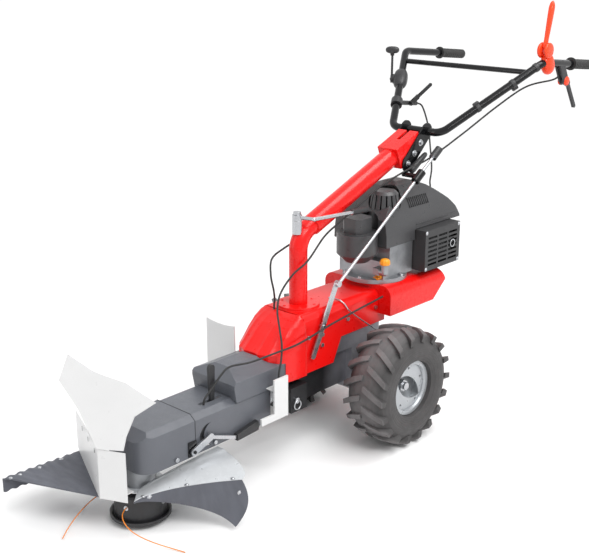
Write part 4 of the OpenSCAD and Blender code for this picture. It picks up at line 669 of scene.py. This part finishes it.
def deck_t(t, s):
    """The place along the deck, drawn back where the rear corner is round."""
    return t * (1 - DECK_ROUND_SHARE * (t * s) ** DECK_ROUND_POWER)


def sweep(start, reach, powers, t):
    return mm(*(a + b * t ** power for a, b, power in zip(start, reach, powers)))


def deck_edge(t):
    return sweep(DECK_FRONT, DECK_REACH, DECK_POWERS, t)


def deck_point(t, s, depth=0.0):
    t = deck_t(t, s)
    root = sweep(DECK_ROOT, DECK_ROOT_REACH, DECK_ROOT_POWERS, t)
    bead = BEAD_H * math.exp(-((s - BEAD_AT_SHARE) / BEAD_WIDTH_SHARE) ** 2) * min(1, BEAD_RISE * t)
    crown = DECK_CROWN * t * math.sin(math.pi * s)
    return root.lerp(deck_edge(t), s) + mm(0, 0, crown + bead - depth)


def make_deck():
    make_sheet("deck_sheet", "deck", "galvanised", deck_point, SHEET_GRID, DECK_T)
    ring = [(RING_BORE, -DECK_T), (RING_BORE, 0), (RING_R - RING_ROUND[0], 0), (RING_R, -RING_ROUND[1]),
            (RING_R, -DECK_T), (RING_BORE, -DECK_T)]
    place(turned("deck_ring", ring, mm(0, 0, DECK_ROOT[2]), UP, sides=64), "galvanised", "chassis")


def skirt_point(t, s, inset=0.0):
    t = deck_t(t, 1)
    end = t ** SKIRT_END_POWER
    bulge = math.sin(math.pi * s)
    fold = SKIRT_FOLD * math.sin(SKIRT_FOLDS * math.pi * t) * s * t
    drop = SKIRT_GAP + (SKIRT_DROP + SKIRT_FALL * t ** SKIRT_FALL_POWER + SKIRT_END_DROP * end) * s
    out = SKIRT_OUT * t * math.sin(math.pi * s / 2) + fold - inset
    out += end * (SKIRT_END_BULGE[0] * bulge - SKIRT_END_TUCK[0] * s ** 3)
    back = end * (SKIRT_END_BULGE[1] * bulge - SKIRT_END_TUCK[1] * s ** 2)
    return deck_edge(t) + mm(out, back, -drop)


def make_skirt():
    make_sheet("skirt_sheet", "left_skirt", "skirt_rubber", skirt_point, SHEET_GRID, SKIRT_T)
    for k, t in enumerate(DECK_RIVET_SHARES):
        rivet(f"deck_rivet_{k}", deck_point(t, DECK_RIVET_S, -DECK_RIVET_LIFT), DECK_RIVET_AXIS)
    for k, t in enumerate(SKIRT_RIVET_SHARES):
        rivet(f"skirt_rivet_{k}", skirt_point(t, SKIRT_RIVET_S), SKIRT_RIVET_AXIS)


# Flap: u runs from back to tip, and s from the root to the outer edge at 1 and over the lip to 2
FLAP_ROOT = mm(10, -113, 106)
FLAP_BACK = mm(-258, 11, 122)
FLAP_TIP = mm(-262, -268, 131)
FLAP_OUT = (FLAP_BACK - FLAP_ROOT).normalized().cross(FLAP_TIP - FLAP_ROOT).normalized()
FLAP_T = 4
FLAP_LIP = 46
FLAP_LIP_ROWS = 4
FLAP_NEAR_SHARE = 0.075
FLAP_BEND_SHARE = 0.9
FLAP_BEND_DROP = 5
FLAP_WAVES = 9
FLAP_WAVE_H = 2.2
FLAP_WAVE_POWER = 6
FLAP_CALM_SHARE = 0.12
FLAP_CALM_RISE = 9
FLAP_GRID = ([*shares(22), *(1 + k / FLAP_LIP_ROWS for k in range(1, FLAP_LIP_ROWS + 1))], shares(110))
FLAP_SMOOTH = 70.0
FLAP_RIVET_SHARES = (0.35, 0.62, 0.86, 0.975)
FLAP_RIVET_S = 0.93


def flap_point(s, u, depth=0.0):
    strength = min(1, max(0, u - FLAP_CALM_SHARE) * FLAP_CALM_RISE)
    wave = FLAP_WAVE_H * math.sin(2 * math.pi * FLAP_WAVES * u) * strength
    edge = FLAP_BACK.lerp(FLAP_TIP, u)
    if s > 1:
        return edge + mm(depth, 0, wave - FLAP_BEND_DROP - (FLAP_LIP - FLAP_BEND_DROP) * (s - 1))
    near = FLAP_NEAR_SHARE + (1 - FLAP_NEAR_SHARE) * s
    bend = max(0, (s - FLAP_BEND_SHARE) / (1 - FLAP_BEND_SHARE)) ** 2
    lift = mm(depth * bend, 0, wave * s ** FLAP_WAVE_POWER - FLAP_BEND_DROP * bend)
    return FLAP_ROOT.lerp(edge, near) - FLAP_OUT * depth * MM + lift


def make_flap():
    make_sheet("flap_sheet", "right_flap", "skirt_rubber", flap_point, FLAP_GRID, FLAP_T, FLAP_SMOOTH)
    for k, u in enumerate(FLAP_RIVET_SHARES):
        rivet(f"flap_rivet_{k}", flap_point(FLAP_RIVET_S, u), FLAP_OUT)


# Control cables: the routes of the CAD, in millimetres, and for the two that reach the handlebar a pair of
# points at their bend; these two ride on no body
CABLE_R = 3
CABLE_STEPS = 10
CABLES = {
    "drive_cable": ([
        (261.5, 1672, 1087.9), (255.1, 1642, 1079.9), (240.4, 1504.4, 1069.3), (197.2, 1405.2, 1011.9),
        (136.8, 1296.8, 925.6), (84, 1196, 854), (54, 1096, 818.4), (30, 995, 777.6), (30, 875, 729.1),
        (30, 797, 697.6), (34, 727, 669.3), (40, 647, 612), (34, 587, 580), (22, 547, 530),
        (34, 519, 486), (66, 495, 440), (92, 477, 400), (108, 457, 362), (112, 443, 326),
        (112, 441, 292)],
        ((54, 1096, 818), (136, 1297, 926))),
    "clutch_cable": ([
        (-155.2, 1429.8, 983.3), (-149.2, 1459.2, 969.4), (-125.2, 1465.2, 903.4), (-76, 1416, 836),
        (-24, 1356, 780), (20, 1288, 752), (36, 1268, 741), (38, 1266, 724.2)],
        ((36, 1268, 735), (-149, 1459, 965))),
    "front_cable": ([
        (118, 918, 448), (110, 795, 430), (110, 677, 416), (110, 589, 402), (108, 519, 392),
        (104, 439, 390), (80, 360, 378), (54, 302, 374), (51, 270, 358), (50, 236, 328),
        (48, 208, 304), (48, 202, 286.2)], None),
    "column_cable": ([
        (-34, 707, 661.2), (-40, 627, 640), (-30, 563, 622), (-12, 539, 580), (-10, 549, 530),
        (-20, 563, 494), (-24, 565, 478), (-24, 565, 462.5)], None),
}


def make_cables():
    for name, (points, bend) in CABLES.items():
        route = smooth_route([mm(*point) for point in points], CABLE_STEPS)
        cable = place(tube(name, route, CABLE_R), "grip_rubber", None if bend else "chassis")
        if bend:
            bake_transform(cable)
        if name == "drive_cable":
            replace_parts(cable, "control_cables")


# Guard: its slots, drawn as black marks that paint the shade in the openings, as places along the right half
# and heights, and the hook of its wing
GUARD_FOLD = mm(0, -135, 0)
GUARD_ALONG = Vector((-268, 124, 0)).normalized()
GUARD_OUT = Vector((-124, -268, 0)).normalized()
GUARD_SLOTS = ((22, 243), (106, 238), (186, 234))
GUARD_SLOT_SIZE = (5, 14, 0.8)
GUARD_SLOT_BEVEL = 0.38
GUARD_SLOT_OUT = 3.1
WING_RISE = Vector((-0.16, -0.36, 0.92))
WING_ALONG = Vector((0.91, 0.41, 0))
HOOK_R = 1.3
HOOK_OUT = 3
HOOK_STEPS = 6
HOOK_POINTS = [(-53.3, -94.8, 396), (-50.5, -95.8, 390), (-48.1, -96.7, 384.9), (-46, -97.5, 379),
               (-42.8, -98.6, 374), (-40, -100, 373)]


def make_guard_slots():
    for k, (along, height) in enumerate(GUARD_SLOTS):
        at = GUARD_FOLD + GUARD_ALONG * along * MM + mm(0, 0, height) + GUARD_OUT * GUARD_SLOT_OUT * MM
        slot = block(f"guard_slot_{k}", GUARD_SLOT_SIZE, at, axes(GUARD_ALONG, UP), GUARD_SLOT_BEVEL)
        # Black: painted shade in the slot
        place(slot, "black_paint", "chassis")


def make_wing_hook():
    """A wire hook through the wing, on the side that faces forward."""
    out = WING_RISE.cross(WING_ALONG).normalized() * HOOK_OUT * MM
    route = smooth_route([mm(*point) + out for point in HOOK_POINTS], HOOK_STEPS)
    place(tube("wing_hook", route, HOOK_R), "steel", "chassis")


# Covers: the left half of the front cover's rear edge, and a black wall inside the rear cover, as painted
# shade behind its slot
SEAM_HALF = [(90.1, 171), (90.1, 274.2), (70.3, 289.1)]
SEAM_Y = 131.6
SEAM_R = 1
SLOT_WALL_SIZE = (1.6, 46, 72)
SLOT_WALL_AT = mm(81.5, 172, 226)
SLOT_WALL_BEVEL = 0.6


def make_cover_trim():
    """The dark seam of the covers, and a black wall behind the slot in the side, as painted shade for the
    inside of the cover.
    """
    outline = SEAM_HALF + [(-x, z) for x, z in reversed(SEAM_HALF)]
    route = [mm(x, SEAM_Y, z) for x, z in outline]
    place(tube("cover_seam", route, SEAM_R, sides=10), "black_plastic", "chassis")
    # Black wall: painted shade seen through the slot
    wall = block("slot_shade_wall", SLOT_WALL_SIZE, SLOT_WALL_AT, bevel=SLOT_WALL_BEVEL)
    place(wall, "black_plastic", "chassis")


# Engine: the left side of the cowl, as in the CAD, with its vents, drawn as black bars that paint the shade
# in the openings, and its ribs, the muffler and the oil cap
COWL_HALF = 110
COWL_LOW = 600
COWL_HIGH = 785
COWL_POWER = 2.2
COWL_FLOOR_SIZE = (204, 230, 3)
COWL_FLOOR_AT = mm(0, 1214, 637)
VENT_COUNT = 11
VENT_Y = 1080
VENT_PITCH = 10
VENT_SHARE = 0.66
VENT_SIZE = (34, 4.6, 1.6)
VENT_BEVEL = 0.7
SLOPE_STEP = 0.02
RIB_SHARES = (0.2, 0.27)
RIB_Y = 1100
RIB_STEP = 11
RIB_POINTS = 21
RIB_R = 1.6
OUTLET_FORM = [(10.5, 6), (10.5, 13), (14, 13), (14, -10), (10.5, -10), (10.5, 6)]
OUTLET_AT = mm(138, 1249.7, 564.5)
CAN_SIZE = (64, 172, 112)
CAN_AT = mm(100, 1193, 564)
CAN_BEVEL = 14.0
SCREW_X = 150.2
SCREW_PLACES = ((1103, 503), (1103, 626), (1283, 503), (1283, 626))
CAP_AT = mm(118, 925, 552.4)
CAP_FORM = [(0.3, 21), (7, 20.6), (12, 18.6), (15, 15), (16.5, 9), (16.5, 3), (15.5, 0.8), (6, 0.6), (6, -11)]
CAP_STEM_R = 10
CAP_LOBES = 10
CAP_LOBE_SHARE = 0.035


def cowl_point(y, share):
    """A point of the cowl's left side at a share of its height."""
    return mm(COWL_HALF * (1 - share ** COWL_POWER) ** (1 / COWL_POWER), y,
              COWL_LOW + (COWL_HIGH - COWL_LOW) * share)


def make_engine():
    for k in range(VENT_COUNT):
        y = VENT_Y + VENT_PITCH * k
        slope = cowl_point(y, VENT_SHARE + SLOPE_STEP) - cowl_point(y, VENT_SHARE - SLOPE_STEP)
        vent = block(f"cowl_vent_{k}", VENT_SIZE, cowl_point(y, VENT_SHARE), axes(slope, BACK), VENT_BEVEL)
        # Black: painted shade in the vent
        place(vent, "black_paint", "chassis")
    for k, share in enumerate(RIB_SHARES):
        route = [cowl_point(RIB_Y + RIB_STEP * i, share) for i in range(RIB_POINTS)]
        place(tube(f"cowl_rib_{k}", route, RIB_R), "engine_black", "chassis")
    place(block("cowl_floor", COWL_FLOOR_SIZE, COWL_FLOOR_AT), "black_plastic", "chassis")
    place(turned("muffler_outlet", OUTLET_FORM, OUTLET_AT, LEFT), "steel", "chassis")
    place(block("muffler_can", CAN_SIZE, CAN_AT, bevel=CAN_BEVEL), "muffler_steel", "chassis")
    for k, (y, z) in enumerate(SCREW_PLACES):
        rivet(f"muffler_screw_{k}", mm(SCREW_X, y, z), LEFT)


def make_cap():
    """The knob of the oil cap, with lobes for the fingers."""
    knob = turned("cap_knob", CAP_FORM, CAP_AT, UP, sides=80)
    for vert in knob.vertices:
        arm = vert.co - CAP_AT
        if arm.z > 0 and arm.xy.length > CAP_STEM_R * MM:
            lobe = 1 + CAP_LOBE_SHARE * math.cos(CAP_LOBES * math.atan2(arm.y, arm.x))
            vert.co = CAP_AT + Vector((arm.x * lobe, arm.y * lobe, arm.z))
    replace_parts(place(knob, "amber_plastic", "cap"), "oil_cap")


# Right controls, and the bands and clips of the left arm
ARM_LOW = mm(100, 1226, 932)
ARM_HIGH = mm(284, 1530, 1150)
ARM_RISE = (ARM_HIGH - ARM_LOW).normalized()
ARM_UP = (UP - ARM_RISE * ARM_RISE.z).normalized()
RIGHT_ARM_RISE = Vector((-ARM_RISE.x, ARM_RISE.y, ARM_RISE.z))
THROTTLE_AT = mm(-212.24, 1411.44, 1064.98)
THROTTLE_SIDE = Vector((-0.8555, -0.5178, 0))
SHELL_HALVES = (46, 25, 24)
SHELL_OUT = 1
KNOB_AT = mm(-240, 1394.7, 1166)
KNOB_HALVES = (24, 12.5, 12)
BAND_FORM = [(13.2, -7), (14.8, -6.4), (15.2, 0), (14.8, 6.4), (13.2, 7)]
BAND_SHARES = (0.36, 0.7, 0.93)
CLIP_SIZE = (22, 12, 13)
CLIP_BEVEL = 3.0
CLIP_LIFTS = (15, -17)


def make_controls():
    shell_at = THROTTLE_AT + THROTTLE_SIDE * SHELL_OUT * MM
    shell = ball("throttle_shell", SHELL_HALVES, shell_at, axes(RIGHT_ARM_RISE, THROTTLE_SIDE))
    place(shell, "black_plastic", "handlebar")
    knob = ball("throttle_knob", KNOB_HALVES, KNOB_AT, axes(THROTTLE_SIDE, UP))
    place(knob, "black_plastic", "throttle")
    for k, share in enumerate(BAND_SHARES):
        band = turned(f"arm_band_{k}", BAND_FORM, ARM_LOW.lerp(ARM_HIGH, share), ARM_RISE)
        place(band, "black_plastic", "handlebar")
    for k, (share, lift) in enumerate(zip(BAND_SHARES, CLIP_LIFTS)):
        at = ARM_LOW.lerp(ARM_HIGH, share) + ARM_UP * lift * MM
        clip = block(f"arm_clip_{k}", CLIP_SIZE, at, axes(ARM_RISE, ARM_UP), CLIP_BEVEL)
        place(clip, "black_plastic", "handlebar")


# Left controls: the holder of the safety lever with its cheeks, and the yoke of the drive lever with its caps
CONTROL_X = 283.556
CONTROL_AT = mm(CONTROL_X, 1559, 1143)
CONTROL_HALVES = (19, 27, 35)
CONTROL_LEAN = (0, 0.9, 0.44)
CHEEK_FORM = [(0.3, 6), (19, 6), (23.4, 4.8), (25.6, 2), (25.6, -2), (23.4, -4.8), (19, -6), (0.3, -6)]
CHEEK_OUT = 13
CHEEK_YZ = (1539, 1189)
YOKE_FROM = mm(277.08, 1652, 1133.9)
YOKE_TO = mm(277.08, 1686, 1075.9)
YOKE_ALONG = (YOKE_TO - YOKE_FROM).normalized()
YOKE_ENDS = [(15, 1.5), (13.6, 6.5), (10.6, 10.6), (6, 13.8), (0, 15)]
YOKE_SIDE = 8.4
YOKE_HALF_T = 3.6
YOKE_POWER = 0.35
YOKE_CAP_FORM = [(0.3, 4), (11, 4), (14, 3), (15.4, 0.4), (15.4, -3)]
YOKE_CAP_SHARE = 1.43


def yoke_plate(name, shift):
    """A flat bar with round ends: YOKE_ENDS holds the reach past each end, and the half width there."""
    route = [YOKE_FROM + shift - YOKE_ALONG * reach * MM for reach, _ in YOKE_ENDS]
    route += [YOKE_TO + shift + YOKE_ALONG * reach * MM for reach, _ in reversed(YOKE_ENDS)]
    halves = [(YOKE_HALF_T, half) for _, half in YOKE_ENDS + YOKE_ENDS[::-1]]
    return limb(name, route, halves, power=YOKE_POWER)


def make_left_control():
    body = ball("control_body", CONTROL_HALVES, CONTROL_AT, axes(LEFT, CONTROL_LEAN))
    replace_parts(place(body, "orange_plastic", "handlebar"), "left_controls")
    for k, side in enumerate((1, -1)):
        axis = LEFT * side
        cheek_at = mm(CONTROL_X + CHEEK_OUT * side, *CHEEK_YZ)
        cheek = turned(f"control_cheek_{k}", CHEEK_FORM, cheek_at, axis, sides=48)
        place(cheek, "orange_plastic", "handlebar")
        shift = axis * YOKE_SIDE * MM
        place(yoke_plate(f"yoke_plate_{k}", shift), "muffler_steel", "handlebar")
        cap = turned(f"yoke_cap_{k}", YOKE_CAP_FORM, YOKE_TO + shift * YOKE_CAP_SHARE, axis, sides=36)
        place(cap, "orange_plastic", "handlebar")


# Levers: each form holds a share of the lever's reach, and the half width and half depth there
SAFETY_PIVOT = mm(CONTROL_X, 1536, 1202.96)
SAFETY_REACH = mm(0, 28, 136)
SAFETY_FORM = [
    (-0.077, 2.6, 3), (-0.066, 4.6, 6.4), (-0.036, 6.2, 9.8), (0, 6.5, 11), (0.07, 6.4, 10.4),
    (0.15, 6.3, 8.8), (0.24, 7, 8.4), (0.4, 7.8, 9), (0.6, 8.4, 9.8), (0.78, 9, 10.6), (0.88, 9, 10.6),
    (0.95, 8.2, 9.6), (0.99, 7, 8), (1.02, 5.4, 6), (1.045, 3.2, 3.6), (1.055, 0.8, 1)]
TAIL_FROM = mm(58, 1208, 864)
TAIL_REACH = mm(0, -84, -49)
TAIL_FORM = [
    (0, 3, 3), (0.03, 6, 6), (0.1, 8, 7.6), (0.4, 9.5, 9.4), (0.7, 11, 11), (0.9, 11.6, 11.4),
    (0.97, 10, 10), (1, 6, 6)]
LOCK_WIRE_R = 2.2
LOCK_WIRE_STEPS = 8
LOCK_WIRE = [
    (30, 757, 464), (52, 754, 467), (72, 757, 466), (87, 763, 457), (93, 770, 444), (96, 779, 431),
    (101, 826, 393), (106, 880, 353), (109, 900, 337), (110, 894, 329), (115, 897, 303), (118, 902, 274)]


def lever(name, start, reach, form):
    return limb(name, [start + reach * share for share, _, _ in form], [half for _, *half in form])


def make_levers():
    """The safety lever with its rounded handle, the tail of the clamp and the lock wire."""
    handle = lever("safety_handle", SAFETY_PIVOT, SAFETY_REACH, SAFETY_FORM)
    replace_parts(place(handle, "orange_plastic", "safety"), "safety_lever")
    place(lever("clamp_tail", TAIL_FROM, TAIL_REACH, TAIL_FORM), "black_plastic", "chassis")
    route = smooth_route([mm(*point) for point in LOCK_WIRE], LOCK_WIRE_STEPS)
    place(tube("lock_wire", route, LOCK_WIRE_R), "steel", "chassis")


# Bolts: rings of them have a centre, a radius, a step and a first angle in degrees
BOLT = [(0.2, 7), (5, 7), (6.4, 6), (6.6, 0.4), (11, 0.4), (11, -0.6)]
PLATE_BOLT_X = 45
PLATE_BOLT_YZ = ((1128, 838), (1160, 868), (1192, 899))
COLLAR_BOLTS = 6
COLLAR_RING = ((0, 647, 470), 54, 60, 20)
BASE_BOLTS = 7
BASE_RING = ((10, 1010, 492), 99, 45, -125)


def on_ring(ring, k):
    (x, y, z), radius, step, first = ring
    turn = math.radians(step * k + first)
    return mm(x + radius * math.cos(turn), y + radius * math.sin(turn), z)


def make_bolts():
    """Bolts of the clamp plates, of the collar at the foot of the column and of the engine base."""
    for k, (y, z) in enumerate(PLATE_BOLT_YZ):
        place(turned(f"plate_bolt_{k}", BOLT, mm(PLATE_BOLT_X, y, z), LEFT), "steel", "chassis")
    for k in range(COLLAR_BOLTS):
        place(turned(f"collar_bolt_{k}", RIVET, on_ring(COLLAR_RING, k), UP), "red_paint", "chassis")
    for k in range(BASE_BOLTS):
        place(turned(f"base_bolt_{k}", BOLT, on_ring(BASE_RING, k), UP), "steel", "chassis")


make_camera()
dress_nodes()
for line_name, line_route in LINE_ROUTES.items():
    trimmer_line(line_name, line_route, LOOKS["line_nylon"])
make_world()
make_sun()
make_boxes()
make_floor()
make_deck()
make_skirt()
make_flap()
make_cables()
make_guard_slots()
make_wing_hook()
make_cover_trim()
make_engine()
make_cap()
make_controls()
make_left_control()
make_levers()
make_bolts()
bpy.context.scene.view_settings.view_transform = "Standard"
